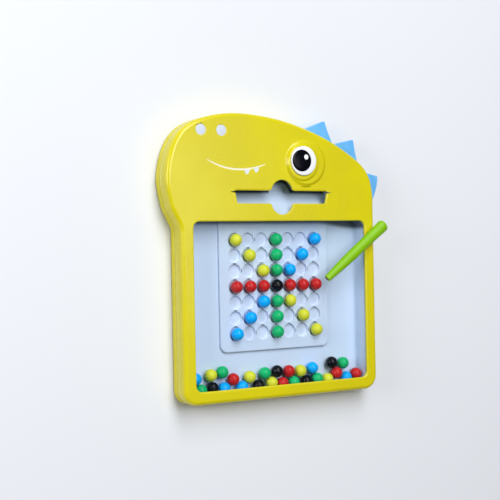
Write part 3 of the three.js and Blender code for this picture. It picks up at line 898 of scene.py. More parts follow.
@dataclass
class Layout:
    """Sizes that several parts share: the window, the border, the stack and the outline.

    A spike is its start, tip and end as shares of the brow's length, a share of the height,
    and how far its steep edge bows in.
    """

    half_window: float = 91.2
    window_rise: float = 74.5
    window_corner: float = 6.0
    half_body: float = 103.0
    body_bottom: float = -86.3
    corner: float = 13.0
    snout_reach: float = 116.6
    crown: float = 171.5
    neck: float = 72.0
    chamber_half: float = 92.2
    chamber_bottom: float = -80.7
    chamber_top: float = 76.7
    shell_base: float = 9.3
    face_base: float = 21.6
    face_top: float = 23.6
    brow_shares: tuple[Pair, ...] = (
        (1, 0.129), (0.996, 0.297), (0.957, 0.452), (0.848, 0.586), (0.569, 0.759),
        (0.289, 0.876), (-0.029, 0.963), (-0.349, 1), (-0.601, 0.97), (-0.818, 0.875),
        (-0.945, 0.692), (-1, 0.415), (-0.968, 0.178),
    )
    brow_columns: int = 230
    least_column: float = 0.0012
    spikes: tuple[tuple[float, float, float, float, float], ...] = (
        (0.364, 0.302, 0.24, 0.97, 0.125), (0.257, 0.196, 0.133, 1.0, 0.125),
        (0.121, 0.089, 0.004, 0.84, -0.42),
    )
    notch_play: float = 0.35
    inside: float = 0.05
    screw_side: float = 96.75
    side_screws: tuple[float, ...] = (-0.8, 0, 0.8)
    head_screws: tuple[Pair, ...] = ((-0.78, 0.3), (0.86, 0.24), (-0.2, 0.86))
    outline: np.ndarray = field(init=False)
    notches: list[tuple[int, int]] = field(init=False)

    def __post_init__(self) -> None:
        """Works out the brow once, with its lengths, and the outline with its notches."""
        knots = np.array([self.head_point(*shares) for shares in self.brow_shares])
        self.brow_line = catmull_rom(knots, 80)
        steps = np.linalg.norm(np.diff(self.brow_line, axis=0), axis=1)
        self.brow_lengths = np.concatenate([[0], np.cumsum(steps)])
        self.build_outline()

    def head_point(self, across: float, up: float) -> Pair:
        """A point of the head from a share of the reach and a share of the rise."""
        reach = self.snout_reach if across < 0 else self.half_body
        return across * reach, self.neck + up * (self.crown - self.neck)

    def brow_at(self, shares: np.ndarray, step: float = 0.4) -> tuple[np.ndarray, np.ndarray]:
        """Places on the brow and the directions that point out of it.

        Args:
            shares: shares of the brow's length.
            step: how far to each side the direction is measured.

        Returns:
            The places and the directions.
        """
        lengths = np.asarray(shares) * self.brow_lengths[-1]
        along = self.brow_places(lengths + step) - self.brow_places(lengths - step)
        along /= np.linalg.norm(along, axis=-1, keepdims=True)
        return self.brow_places(lengths), np.stack([along[..., 1], -along[..., 0]], axis=-1)

    def brow_places(self, lengths: np.ndarray) -> np.ndarray:
        """Places on the brow at lengths along it."""
        columns = [np.interp(lengths, self.brow_lengths, self.brow_line[:, k]) for k in (0, 1)]
        return np.stack(columns, axis=-1)

    def under_snout(self) -> np.ndarray:
        """The cubic curve that leaves the brow's end straight on and meets the left side."""
        last, out = self.brow_at(np.array(1.0))
        ahead, left = np.array([-out[1], out[0]]), -self.half_body
        knots = np.array([last, last + ahead * 9, (left, self.neck + 1.5), (left, self.neck - 7)])
        t = np.linspace(0, 1, 17)[1:, None]
        pulls = ((1 - t) ** 3, 3 * t * (1 - t) ** 2, 3 * t**2 * (1 - t), t**3)
        return sum(pull * knot for pull, knot in zip(pulls, knots))

    def build_outline(self) -> None:
        """Joins the round bottom corners, the brow and the curve under the snout.

        The brow has a column where a notch for a spike starts or ends, and no other one close
        to it, so that the notch can be left out of the wall.
        """
        r = self.corner
        left, right, low = -self.half_body, self.half_body, self.body_bottom
        bottom = np.concatenate([
            arc(left + r, low + r, r, 2 * QUARTER, 3 * QUARTER, 16),
            arc(right - r, low + r, r, -QUARTER, 0, 16),
        ])
        play = self.notch_play / self.brow_lengths[-1]
        ends = np.array([[end - play, start + play] for start, _, end, *_ in self.spikes])
        even = np.linspace(0, 1, self.brow_columns)
        away = np.abs(even[:, None] - ends.reshape(1, -1)).min(axis=1)
        shares = np.sort(np.concatenate([even[away >= self.least_column], ends.reshape(-1)]))
        brow = self.brow_places(shares * self.brow_lengths[-1])
        whole = np.concatenate([bottom, brow, self.under_snout()])
        self.outline = moved_in(whole, self.inside)
        self.notches = [
            tuple(int(np.argmin(np.abs(shares - value))) + len(bottom) for value in pair)
            for pair in ends
        ]

    def rings(self, steps: list[Pair]) -> np.ndarray:
        """The outline at several moves in and heights, as rows of a grid."""
        return stacked(partial(moved_in, self.outline), steps)

    def window(self, grow: float) -> np.ndarray:
        """The window's outline, grown outwards."""
        low = (-self.half_window - grow, -self.window_rise - grow)
        high = (self.half_window + grow, self.window_rise + grow)
        return round_rectangle(low, high, self.window_corner + grow, 12)

    def screw_places(self) -> np.ndarray:
        """Where the nine screws stand, three on each side and three in the head."""
        sides = [(sign * self.screw_side, share * self.window_rise)
                 for share in self.side_screws for sign in (-1, 1)]
        return np.array(sides + [self.head_point(*shares) for shares in self.head_screws])


@dataclass(frozen=True)
class MoundStep:
    """A round step of the eye's mound: where it lies, how high it is and how soft its edge."""

    centre: Pair
    radius: float
    rise: float
    soft: float

    def reach(self, start: Pair, angles: np.ndarray) -> np.ndarray:
        """How far the step reaches from a point inside it: the root for a ray and a circle.

        Args:
            start: the point.
            angles: the rays' directions, in radians.

        Returns:
            The reach at each angle.
        """
        dx, dy = self.centre[0] - start[0], self.centre[1] - start[1]
        half = dx * np.cos(angles) + dy * np.sin(angles)
        return half + np.sqrt(self.radius**2 - dx**2 - dy**2 + half**2)

    def height(self, x: np.ndarray, y: np.ndarray) -> np.ndarray:
        """The step's height at some places: a smooth ramp of the distance inside its circle."""
        away = np.hypot(x - self.centre[0], y - self.centre[1])
        depth = np.clip((self.radius - away) / self.soft, 0, 1)
        return self.rise * depth * depth * (3 - 2 * depth)


@dataclass
class FaceMarks:
    """Places and sizes of the slot, the eye, the nostrils and the smile on the face."""

    slot_low: float = 90.6
    slot_top: float = 102.2
    slot_half_low: float = 46.7
    slot_half_top: float = 48.8
    slit_half: float = 54.2
    slit_lift: float = 100.8
    slit_gape: float = 0.8
    lead_in: float = 3.0
    notch_radius: float = 11.5
    notch_centres: Pair = (92.0, 100.6)
    notch_corner: float = 3.2
    mound: tuple[MoundStep, MoundStep] = (
        MoundStep((21.2, 128.2), 17.7, 1.4, 2.8), MoundStep((25.5, 128.2), 22.0, 1.6, 3.2),
    )
    white: Pair = (20.9, 129.7)
    white_radius: float = 13.4
    pupil: Pair = (18.3, 129.7)
    pupil_radius: float = 9.8
    eye_play: float = 0.3
    nostrils: tuple[Pair, ...] = ((-62.0, 155.1), (-82.4, 155.1))
    nostril_radius: float = 5.0
    nostril_depth: float = 0.8
    smile: tuple[Pair, ...] = ((-77.1, 129.3), (-50.5, 114.4), (-17.8, 125.9))
    smile_width: float = 1.7
    smile_ends: Pair = (0.06, 0.94)
    tooth_shares: tuple[float, ...] = (0.7, 0.855)
    tooth_width: float = 6.4
    tooth_drop: float = 4.6
    tooth_tip: float = 0.42
    tooth_round: tuple[float, ...] = (0.1, 0.9, 0.9, 0.1)

    def slot(self, grow: float) -> np.ndarray:
        """The slot with its thumb notch and its two slits, grown outwards.

        The right half runs from the foot of the notch to its top, and the left half mirrors
        it. The upper edges move several times as far, for the card to slide in.
        """
        low, top = self.slot_low - grow, self.slot_top + grow * self.lead_in
        radius, side = self.notch_radius + grow, self.slot_half_top + grow
        under, over = self.notch_centres
        gap = (self.notch_corner + 0.3) / radius
        first = math.asin((low - under) / radius)
        second = math.asin(min((top - over) / radius, 0.9))
        below = arc(0, under, radius, -QUARTER, first - gap, 12)
        above = arc(0, over, radius, second + gap, QUARTER, 12)
        gape = self.slit_gape + grow * 0.5
        corners = np.array([
            below[-1], (radius * math.cos(first), low), (self.slot_half_low + grow, low),
            (side, self.slit_lift - gape), (self.slit_half + grow, self.slit_lift),
            (side, self.slit_lift + gape), (side, top), (radius * math.cos(second), top),
            above[0],
        ])
        tight = max(self.notch_corner - grow, 0.5)
        radii = np.array([0, tight, 1 + grow, 0.2, 0.15, 0.1, 0.3 + grow, tight, 0])
        right = np.concatenate([below[:-1], rounded_corners(corners, radii, 5), above[1:]])
        left = right[1:-1][::-1] * np.array([-1, 1])
        return np.concatenate([right, left])

    def smile_outline(self) -> np.ndarray:
        """A crescent along a quadratic curve, whose half width is the root of a sine."""
        t = np.linspace(0, 1, 41)[:, None]
        a, b, c = np.array(self.smile)
        at, along = quadratic(a, b, c, t), (1 - t) * (b - a) + t * (c - b)
        along /= np.linalg.norm(along, axis=1, keepdims=True)
        side = np.stack([-along[:, 1], along[:, 0]], axis=1)
        first, last = self.smile_ends
        half = self.smile_width / 2 * np.sqrt(np.sin(math.pi * (first + (last - first) * t)))
        return np.concatenate([at - side * half, (at + side * half)[::-1]])

    def tooth_outline(self, share: float) -> np.ndarray:
        """A tooth that hangs from the smile, narrower and rounded at its tip."""
        x, y = quadratic(*np.array(self.smile), share)
        half, low = self.tooth_width / 2, y - self.tooth_drop
        tip = half * self.tooth_tip
        corners = np.array([(x - half, y), (x - tip, low), (x + tip, low), (x + half, y)])
        return rounded_corners(corners, np.array(self.tooth_round), 5)

    def marks_in(self) -> list[np.ndarray]:
        """The outlines that are set into the face: the smile and the teeth."""
        return [self.smile_outline(), *(self.tooth_outline(share) for share in self.tooth_shares)]


@dataclass
class FrontShell:
    """The moulded face: wall, rounded edge, window, slot, raised eye and recessed marks."""

    layout: Layout
    marks: FaceMarks
    finish: bpy.types.Material
    edge: float = 4.0
    wall: float = 2.0
    notch_top: float = 14.6
    window_edge: float = 1.3
    slot_edge: float = 0.8
    nostril_edge: float = 0.35
    socket_floor: float = 25.4
    recess: float = 0.7
    mound_rows: tuple[float, ...] = (-3.2, -2.8, -2.3, -1.9, -1.5, -1.1, -0.7, -0.35, 0.0)
    least_row: float = 0.02

    def outer_steps(self) -> list[Pair]:
        """The wall from its foot to the face, as moves in and heights."""
        foot = [(inwards, self.layout.shell_base + up) for inwards, up in EASED]
        curve = rounded_edge(self.edge, self.layout.face_top, 12)[::-1]
        return [*foot, (0.0, self.notch_top), *curve]

    def inner_steps(self) -> list[Pair]:
        """The inside of the wall, from its foot to the underside of the face."""
        curve = rounded_edge(self.edge - self.wall, self.layout.face_base, 6)[::-1]
        steps = [(0.0, self.layout.shell_base), (0.0, self.notch_top), *curve]
        return [(self.wall + inwards, height) for inwards, height in steps]

    def wall_columns(self) -> np.ndarray:
        """Which columns of the wall's foot stand, with none where a spike passes."""
        keep = np.ones(len(self.layout.outline), dtype=bool)
        for first, last in self.layout.notches:
            keep[first:last] = False
        return keep

    def build_walls(self, skin: Skin) -> tuple[np.ndarray, np.ndarray]:
        """Adds the two sides of the wall, its foot and the notches for the spikes.

        Args:
            skin: the skin that they go into.

        Returns:
            The outline of the flat face, and that of its underside.
        """
        outer = self.layout.rings(self.outer_steps())
        inner = self.layout.rings(self.inner_steps())
        keep = self.wall_columns()
        notch = len(EASED)
        skin.grid(outer[:notch + 1], keep=keep)
        skin.grid(outer[notch:])
        skin.grid(inner[:2], keep=keep)
        skin.grid(inner[1:])
        skin.grid(np.stack([outer[0], inner[0]]), keep=keep)
        skin.grid(np.stack([outer[notch], inner[1]]), keep=~keep)
        for column in np.array(self.layout.notches).reshape(-1):
            skin.polygon(np.concatenate([outer[:notch + 1, column], inner[1::-1, column]]))
        return outer[-1][:, :2], inner[-1][:, :2]

    def opening(self, skin: Skin, outline_at: Callable[[float], np.ndarray],
                edge: float) -> np.ndarray:
        """Adds the rounded mouth and the sides of an opening through the face.

        Args:
            skin: the skin that it goes into.
            outline_at: gives the opening's outline for a growth.
            edge: the radius of the rounded mouth.

        Returns:
            The outline that the flat face leaves free for it.
        """
        mouth = rounded_edge(edge, self.layout.face_top, 8)
        rows = stacked(outline_at, [*mouth, (0.0, self.layout.face_base)])
        skin.grid(rows)
        return rows[0][:, :2]

    def build_mound(self, skin: Skin) -> np.ndarray:
        """Adds the eye's mound as heights on a grid of angle and reach.

        The height is the sum of its two steps. The rows gather round both their circles.

        Args:
            skin: the skin that it goes into.

        Returns:
            The outline that the flat face leaves free for the mound.
        """
        m = self.marks
        angles = angles_round(144)
        inner, outer = (step.reach(m.white, angles) for step in m.mound)
        socket = m.white_radius + m.eye_play
        near = [edge + away for edge in (inner, outer) for away in self.mound_rows]
        rows = [np.full_like(angles, socket), socket + (inner - socket) * 0.3]
        rows += [np.maximum(row, socket + self.least_row * k) for k, row in enumerate(near, 1)]
        rows += [inner + (outer - inner) * 0.4, inner + 0.3, outer + APRON[0], outer + APRON[1]]
        reach = np.sort(np.stack(rows), axis=0)
        x, y = m.white[0] + reach * np.cos(angles), m.white[1] + reach * np.sin(angles)
        z = self.layout.face_top + sum(step.height(x, y) for step in m.mound)
        grid = np.stack([x, y, z], axis=-1)
        floor = at_height(grid[0][:, :2], self.socket_floor)
        return skin.pit(np.stack([*grid[::-1], floor]))

    def build_nostrils(self, skin: Skin) -> list[np.ndarray]:
        """Adds the two round recesses, as profiles turned about their axes.

        Args:
            skin: the skin that they go into.

        Returns:
            The outlines that the flat face leaves free for them.
        """
        m, top = self.marks, self.layout.face_top
        mouth = rounded_edge(self.nostril_edge, top, 4, apron=NARROW)
        steps = [*mouth, (0.0, top - m.nostril_depth)]
        profile = [(m.nostril_radius + out, height) for out, height in steps]
        return [skin.pit(turned(profile, x, y, 48)) for x, y in m.nostrils]

    def build_face(self, skin: Skin, outer: np.ndarray, holes: list[np.ndarray]) -> None:
        """Fills the flat of the face, with the smile and its teeth set into it.

        The flat is cut along all outlines. What lies in the smile or a tooth drops to the
        recess's floor, and the edges between the two heights get walls.

        Args:
            skin: the skin that it goes into.
            outer: the outline of the face.
            holes: the outlines that it leaves free.
        """
        top, marks = self.layout.face_top, self.marks.marks_in()
        regions = flat_regions([outer, *holes, *marks])
        first = 1 + len(holes)
        low = regions.touching(set(range(first, first + len(marks))))
        skin.patch(at_height(regions.points, top), regions.inside({0}))
        skin.patch(at_height(regions.points, top - self.recess), low)
        skin.step(regions, low, top, top - self.recess)

    def build(self) -> None:
        """Builds the whole shell."""
        skin = Skin()
        outer, inner = self.build_walls(skin)
        holes = [
            self.opening(skin, self.layout.window, self.window_edge),
            self.opening(skin, self.marks.slot, self.slot_edge),
        ]
        skin.flat(inner, [self.layout.window(0), self.marks.slot(0)], self.layout.face_base)
        holes.append(self.build_mound(skin))
        holes += self.build_nostrils(skin)
        self.build_face(skin, outer, holes)
        add_piece(skin, "face_moulding", self.finish, Slot.CASING.value, "front_shell")


@dataclass
class FacePaint:
    """The pale paint that fills the nostrils, the smile and the teeth."""

    layout: Layout
    marks: FaceMarks
    white: bpy.types.Material
    cream: bpy.types.Material
    low: float = 0.62
    high: float = 0.16
    nostril_high: float = 0.12
    dome: float = 0.45

    def nostril(self, number: int) -> None:
        """A shallow dome in a nostril: it falls with the fourth power of the radius."""
        m, top = self.marks, self.layout.face_top
        radius = m.nostril_radius - 0.03
        shares = np.linspace(1, 0.02, 12)
        profile = [(radius, top - m.nostril_depth + 0.02)]
        profile += [(radius * s, top - self.nostril_high - self.dome * s**4) for s in shares]
        skin = Skin.solid(turned(profile, *m.nostrils[number], 48))
        add_piece(skin, f"nostril_paint_{number + 1}", self.white, Slot.WHITE.value)

    def inlay(self, name: str, regions: Regions, triangles: np.ndarray,
              finish: bpy.types.Material) -> None:
        """Makes a thin closed inlay in the recess: two levels and the wall between.

        Args:
            name: the name of the piece.
            regions: the plane's regions.
            triangles: the triangles that the inlay covers.
            finish: its material.
        """
        low, high = (self.layout.face_top - drop for drop in (self.low, self.high))
        skin = Skin()
        for level in (low, high):
            skin.patch(at_height(regions.points, level), triangles)
        skin.step(regions, triangles, low, high)
        add_piece(skin, name, finish, Slot.WHITE.value)

    def build(self) -> None:
        """Fills both nostrils, the smile and the two teeth."""
        for number in range(len(self.marks.nostrils)):
            self.nostril(number)
        regions = flat_regions(self.marks.marks_in())
        self.inlay("smile_paint", regions, regions.touching({0}), self.cream)
        for number in range(1, len(self.marks.tooth_shares) + 1):
            only = regions.touching({number}, without={0})
            self.inlay(f"tooth_paint_{number}", regions, only, self.white)


@dataclass
class RearCover:
    """The back half of the casing, hollow, with a lip and a post at each screw."""

    layout: Layout
    finish: bpy.types.Material
    edge: float = 2.4
    parting: float = 9.0
    lip_outer: float = 2.2
    lip_inner: float = 3.2
    lip_top: float = 11.2
    lip_gap: int = 4
    floor: float = 2.0
    head_radius: float = 2.1
    head_depth: float = 4.0
    shank_radius: float = 1.2
    post_radius: float = 2.75
    post_ease: float = 0.3
    mouth_edge: float = 0.35

    def post_profile(self) -> list[Pair]:
        """A screw's hole and post, from the back face in and down to the floor."""
        mouth = rounded_edge(self.mouth_edge, 0.0, 4, way=1, apron=NARROW)
        ease = self.post_ease
        return [(self.head_radius + out, height) for out, height in mouth] + [
            (self.head_radius, self.head_depth), (self.shank_radius, self.head_depth),
            (self.shank_radius, self.parting), (self.post_radius - ease, self.parting),
            (self.post_radius, self.parting - ease), (self.post_radius, self.floor),
        ]

    def build(self) -> None:
        """Builds the cover: back, rounded edge, wall, rim, lip, inside and posts."""
        skin = Skin()
        back = rounded_edge(self.edge, 0.0, 8, way=1)
        wall = [(inwards, self.parting - drop) for inwards, drop in EASED[::-1]]
        rim = [(self.lip_outer, self.parting), (self.lip_outer, self.lip_top)]
        inside = [(self.lip_inner, self.lip_top), (self.lip_inner, self.floor)]
        rows = self.layout.rings(back + wall + rim + inside)
        self.drop_lip(rows)
        skin.grid(rows)
        posts = [turned(self.post_profile(), x, y, 32) for x, y in self.layout.screw_places()]
        for post in posts:
            skin.grid(post)
        for ring, height in ((0, 0.0), (-1, self.floor)):
            skin.flat(rows[ring][:, :2], [post[ring][:, :2] for post in posts], height)
        add_piece(skin, "rear_moulding", self.finish, Slot.REAR.value, "rear_cover")

    def drop_lip(self, rows: np.ndarray) -> None:
        """Takes the lip's two rows down to the rim where the crest's band runs."""
        columns = np.array(self.layout.notches)
        first, last = columns.min() - self.lip_gap, columns.max() + self.lip_gap
        rows[-3:-1, first:last, 2] = self.parting


@dataclass
class BeadTray:
    """The pale tray: floor, walls, a raised panel of dished wells, and the card trough."""

    layout: Layout
    marks: FaceMarks
    finish: bpy.types.Material
    wall: float = 1.5
    base: float = 3.5
    floor: float = 5.0
    top: float = 19.6
    corner: float = 8.0
    foot: float = 1.2
    base_ease: float = 0.4
    rim_ease: float = 0.3
    panel_half: float = 58.25
    panel_drop: float = -43.6
    panel_top: float = 7.6
    panel_edge: float = 1.3
    panel_foot: float = 0.4
    panel_corner: float = 7.0
    panel_gap: float = 0.6
    pitch: float = 14.2
    lift: float = 15.6
    wells: int = 7
    well_radius: float = 6.4
    well_edge: float = 0.45
    dish: float = 0.5
    dish_lift: float = 0.06
    trough_wall: float = 1.2
    trough_half: float = 55.8
    trough_low: float = 79.4
    trough_high: float = 113.7
    trough_deep: float = 5.1
    trough_brink: float = 19.4
    trough_drop: float = 0.3
    trough_round: tuple[float, ...] = (0.0, 0.8, 3.0, 2.0, 0.0)
    shelf_share: float = 0.3
    fineness: float = 0.8
    # the slant, heights and amounts of the painted shadow under the slot's upper edge
    shade_slant: Pair = (-0.45, -0.055)
    shade_heights: tuple[float, ...] = (-3.2, -0.8, 0.7, 4.0)
    shade_shares: tuple[float, ...] = (0.12, 0.96, 0.96, 0.3)

    def chamber(self, grow: float) -> np.ndarray:
        """The chamber's outline, grown outwards."""
        half = self.layout.chamber_half + grow
        low = (-half, self.layout.chamber_bottom - grow)
        return round_rectangle(low, (half, self.layout.chamber_top + grow), self.corner + grow, 12)

    def panel(self, grow: float) -> np.ndarray:
        """The raised panel's outline, grown outwards: its top end is square and hides."""
        half, low = self.panel_half + grow, self.panel_drop - grow
        top = self.layout.chamber_top - self.foot - self.panel_gap + grow
        corners = np.array([(-half, low), (half, low), (half, top), (-half, top)])
        round_off = self.panel_corner + grow
        return rounded_corners(corners, np.array([round_off, round_off, 0.3, 0.3]), 12)

    def build_box(self, skin: Skin) -> None:
        """Adds the outside, the rim, the inside with its round foot, and the panel's sides."""
        wall, top, ease = self.wall, self.top, self.rim_ease
        outside = [(wall - self.base_ease, self.base), (wall, self.base + self.base_ease),
                   (wall, top - ease), (wall - ease, top), (ease, top), (0.0, top - ease)]
        foot = rounded_edge(self.foot, self.floor, 6, way=1)[::-1]
        rows = stacked(self.chamber, outside + [(-inwards, height) for inwards, height in foot])
        skin.grid(rows)
        skin.flat(rows[0][:, :2], [], self.base)
        sides = rounded_edge(self.panel_foot, self.floor, 4, way=1)
        edge = rounded_edge(self.panel_edge, self.panel_top, 8)[::-1]
        panel = stacked(self.panel, sides + [(-inwards, height) for inwards, height in edge])
        skin.grid(panel)
        skin.flat(rows[-1][:, :2], [panel[0][:, :2]], self.floor)
        self.build_wells(skin, panel[-1][:, :2])

    def build_wells(self, skin: Skin, panel: np.ndarray) -> None:
        """Adds the dished wells: a rounded rim, a wall and a dish that flattens to the middle.

        The dish's height rises with the eighth power of the share of the radius.

        Args:
            skin: the skin that they go into.
            panel: the outline of the panel's flat.
        """
        radius = self.well_radius
        rim = rounded_edge(self.well_edge, self.panel_top, 6)
        profile = [(radius + out, height) for out, height in rim]
        shares = 1 - np.linspace(0, 1, 13)[:-1] ** 1.6
        low = self.floor + self.dish_lift
        profile += [(radius * s, low + self.dish * s**8) for s in shares]
        away = (np.arange(self.wells) - (self.wells - 1) / 2) * self.pitch
        holes = [skin.pit(turned(profile, x, self.lift - drop, 40)) for drop in away for x in away]
        skin.flat(panel, holes, self.panel_top)

    def build_trough(self, skin: Skin) -> None:
        """Adds the box behind the slot: its hollow is a side profile carried across.

        The profile drops from the brink down a slope to the deep shelf and rises again at the
        far wall, with round corners; flat ends close it.
        """
        low, high = self.trough_low, self.trough_high
        rim = self.layout.face_base - self.trough_drop
        shelf = high - (high - low) * self.shelf_share
        corners = np.array([
            (low, rim), (low, self.trough_brink), (shelf, self.trough_deep),
            (high, self.trough_deep), (high, rim),
        ])
        side = rounded_corners(corners, np.array(self.trough_round), 6)
        side = divided(side, self.fineness)
        half = self.trough_half
        columns = divided(np.array([(-half, 0.0), (half, 0.0)]), self.fineness)[:, 0]
        across = np.stack([np.column_stack([np.full(len(side), x), side]) for x in columns])
        skin.grid(across, closed=False)
        for end in (0, -1):
            skin.polygon(across[end])
        inner = np.concatenate([across[:, 0, :2], across[::-1, -1, :2]])
        outer = moved_in(inner, -self.trough_wall)
        outer[:len(columns), 1] = self.layout.chamber_top + self.wall + 0.02
        skin.flat(outer, [inner], rim)
        skin.grid(np.stack([at_height(outer, self.base), at_height(outer, rim)]))
        skin.polygon(at_height(outer, self.base))

    def well_light_at(self, x: np.ndarray, y: np.ndarray, z: np.ndarray) -> np.ndarray:
        """Which points lie in a well, where the paler tone is painted.

        The distance to the nearest well comes from rounding the place to the pitch.
        """
        reach = (self.wells - 1) / 2 * self.pitch
        across, up = (
            place - np.clip(np.round(place / self.pitch) * self.pitch, -reach, reach)
            for place in (x, y - self.lift)
        )
        return (np.hypot(across, up) < self.well_radius + 0.02) & (z < self.panel_top - 0.2)

    def painted_shade_at(self, x: np.ndarray, y: np.ndarray, z: np.ndarray) -> np.ndarray:
        """How much painted shade lies in the trough: most of it in a line under the slot's upper
        edge, where its shadow falls.

        The line is the slot's top with the arc of the thumb notch, carried down to the trough
        along a slant. The amount follows the height of a point above or below that line.
        """
        marks = self.marks
        rise = self.layout.face_base - z
        across = x + self.shade_slant[0] * rise
        up = y + self.shade_slant[1] * rise
        half_chord = np.sqrt(np.clip(marks.notch_radius**2 - across**2, 0, None))
        edge = np.maximum(marks.slot_top, marks.notch_centres[1] + half_chord)
        painted_shade = np.interp(up - edge, self.shade_heights, self.shade_shares)
        return np.where(y > self.trough_low, painted_shade, 0)

    def build(self) -> None:
        """Builds the tray, and stores at each point how much painted light of the wells and how
        much painted shade it has.
        """
        skin = Skin()
        self.build_box(skin)
        self.build_trough(skin)
        piece = add_piece(skin, "bead_tray_moulding", self.finish, Slot.TRAY.value, "bead_tray")
        places = read(piece.data.vertices, "co", 3).T / METRES
        # painted light in the wells, and painted shade under the slot's upper edge
        store(piece.data, "polished", self.well_light_at(*places))
        store(piece.data, "painted_shade", self.painted_shade_at(*places))


@dataclass
class ClearWindow:
    """The clear sheet that closes the tray."""

    tray: BeadTray
    finish: bpy.types.Material
    low: float = 19.9
    high: float = 21.3
    ease: float = 0.2

    def build(self) -> None:
        """Builds the sheet, with its edges eased."""
        grow, ease = self.tray.wall - 0.3, self.ease
        half = [(grow - 0.5, 0.0), (grow - ease, 0.0), (grow, ease)]
        steps = [(g, self.low + up) for g, up in half]
        steps += [(g, self.high - up) for g, up in half[::-1]]
        skin = Skin()
        skin.slab(stacked(self.tray.chamber, steps))
        add_piece(skin, "window_sheet", self.finish, Slot.WINDOW.value, "clear_window")


@dataclass
class Crest:
    """Three soft-edged spikes on a band that the shells hold."""

    layout: Layout
    finish: bpy.types.Material
    low: float = 9.3
    high: float = 14.3
    height: float = 18.2
    root: float = 4.0
    edge: float = 0.9
    rim: float = 0.08
    tip_radius: float = 1.4
    band_reach: float = 7.2
    band_play: float = 0.05
    band_ends: Pair = (0.001, 0.379)

    def spike(self, start: float, tip: float, end: float, share: float, bow: float) -> np.ndarray:
        """A spike's outline: a gentle first edge, a round tip and a steep bowed edge."""
        (a, b, c), out = self.layout.brow_at(np.array([start, tip, end]))
        height = self.height * share
        point = b + out[1] * height
        hollow = (c + point) / 2 - out[1] * height * bow
        steep = quadratic(c, hollow, point, np.linspace(0, 1, 13)[1:-1, None])
        corners = np.concatenate([
            [c - out[2] * self.root, c], steep, [point, a, a - out[0] * self.root],
        ])
        radii = np.zeros(len(corners))
        radii[len(steep) + 2] = self.tip_radius
        return rounded_corners(corners, radii, 8)

    def build(self) -> None:
        """Builds the spikes and the band."""
        skin = Skin()
        curve = [(self.edge + self.rim, 0.0)]
        curve += [(i, self.edge - up) for i, up in fillet(self.edge, 6)[::-1]]
        steps = [(inwards, self.low + up) for inwards, up in curve]
        steps += [(inwards, self.high - up) for inwards, up in curve[::-1]]
        for spike in self.layout.spikes:
            skin.slab(stacked(partial(moved_in, self.spike(*spike)), steps))
        self.build_band(skin)
        add_piece(skin, "crest_moulding", self.finish, Slot.CREST.value, "dorsal_crest")

    def build_band(self, skin: Skin) -> None:
        """Adds the band: a rectangle carried along the brow, inside the casing."""
        at, out = self.layout.brow_at(np.linspace(*self.band_ends, 60))
        near, far = at - out * (self.root + self.band_play), at - out * self.band_reach
        corners = ((near, self.low), (near, self.high), (far, self.high), (far, self.low))
        rows = np.stack([at_height(line, height) for line, height in (*corners, corners[0])])
        skin.grid(rows, closed=False)
        for column in (0, -1):
            skin.polygon(rows[:4, column])


@dataclass
class Eye:
    """The white disc with the black pupil let into it."""

    marks: FaceMarks
    white: bpy.types.Material
    black: bpy.types.Material
    sides: int = 96
    low: float = 25.7
    side: float = 28.1
    crown: float = 1.3
    pocket_floor: float = 26.9
    pupil_low: float = 27.2
    pupil_side: float = 28.9
    pupil_crown: float = 1.1
    pupil_ease: float = 0.2

    def build_white(self) -> None:
        """A ring between the pupil's pocket and the rim, domed as a quarter ellipse."""
        m = self.marks
        rim = circle(*m.white, m.white_radius, self.sides)
        pocket = circle(*m.pupil, m.pupil_radius + m.eye_play, self.sides)
        shares = np.sin(np.linspace(0, QUARTER, 16))[:, None, None]
        flat = pocket * (1 - shares) + rim * shares
        reach = np.linalg.norm(flat - m.white, axis=-1, keepdims=True) / m.white_radius
        rise = self.side + self.crown * np.sqrt(np.clip(1 - reach**2, 0, 1))
        floors = at_height(pocket, self.pocket_floor), at_height(rim, self.low)
        top = np.concatenate([flat, rise], axis=-1)
        skin = Skin.solid(np.stack([floors[0], *top, floors[1]]))
        add_piece(skin, "eye_disc", self.white, Slot.WHITE.value, "eye_white")

    def build_pupil(self) -> None:
        """A domed disc, turned from a side and a quarter ellipse."""
        radius, ease = self.marks.pupil_radius, self.pupil_ease
        angles = np.linspace(0, QUARTER, 20)[:-1]
        profile = [(radius - ease, self.pupil_low), (radius, self.pupil_low + ease)]
        profile += [(radius * math.cos(a), self.pupil_side + self.pupil_crown * math.sin(a))
                    for a in angles]
        skin = Skin.solid(turned(profile, *self.marks.pupil, self.sides))
        add_piece(skin, "pupil_disc", self.black, Slot.BLACK.value, "eye_pupil")

    def build(self) -> None:
        """Builds both discs."""
        self.build_white()
        self.build_pupil()


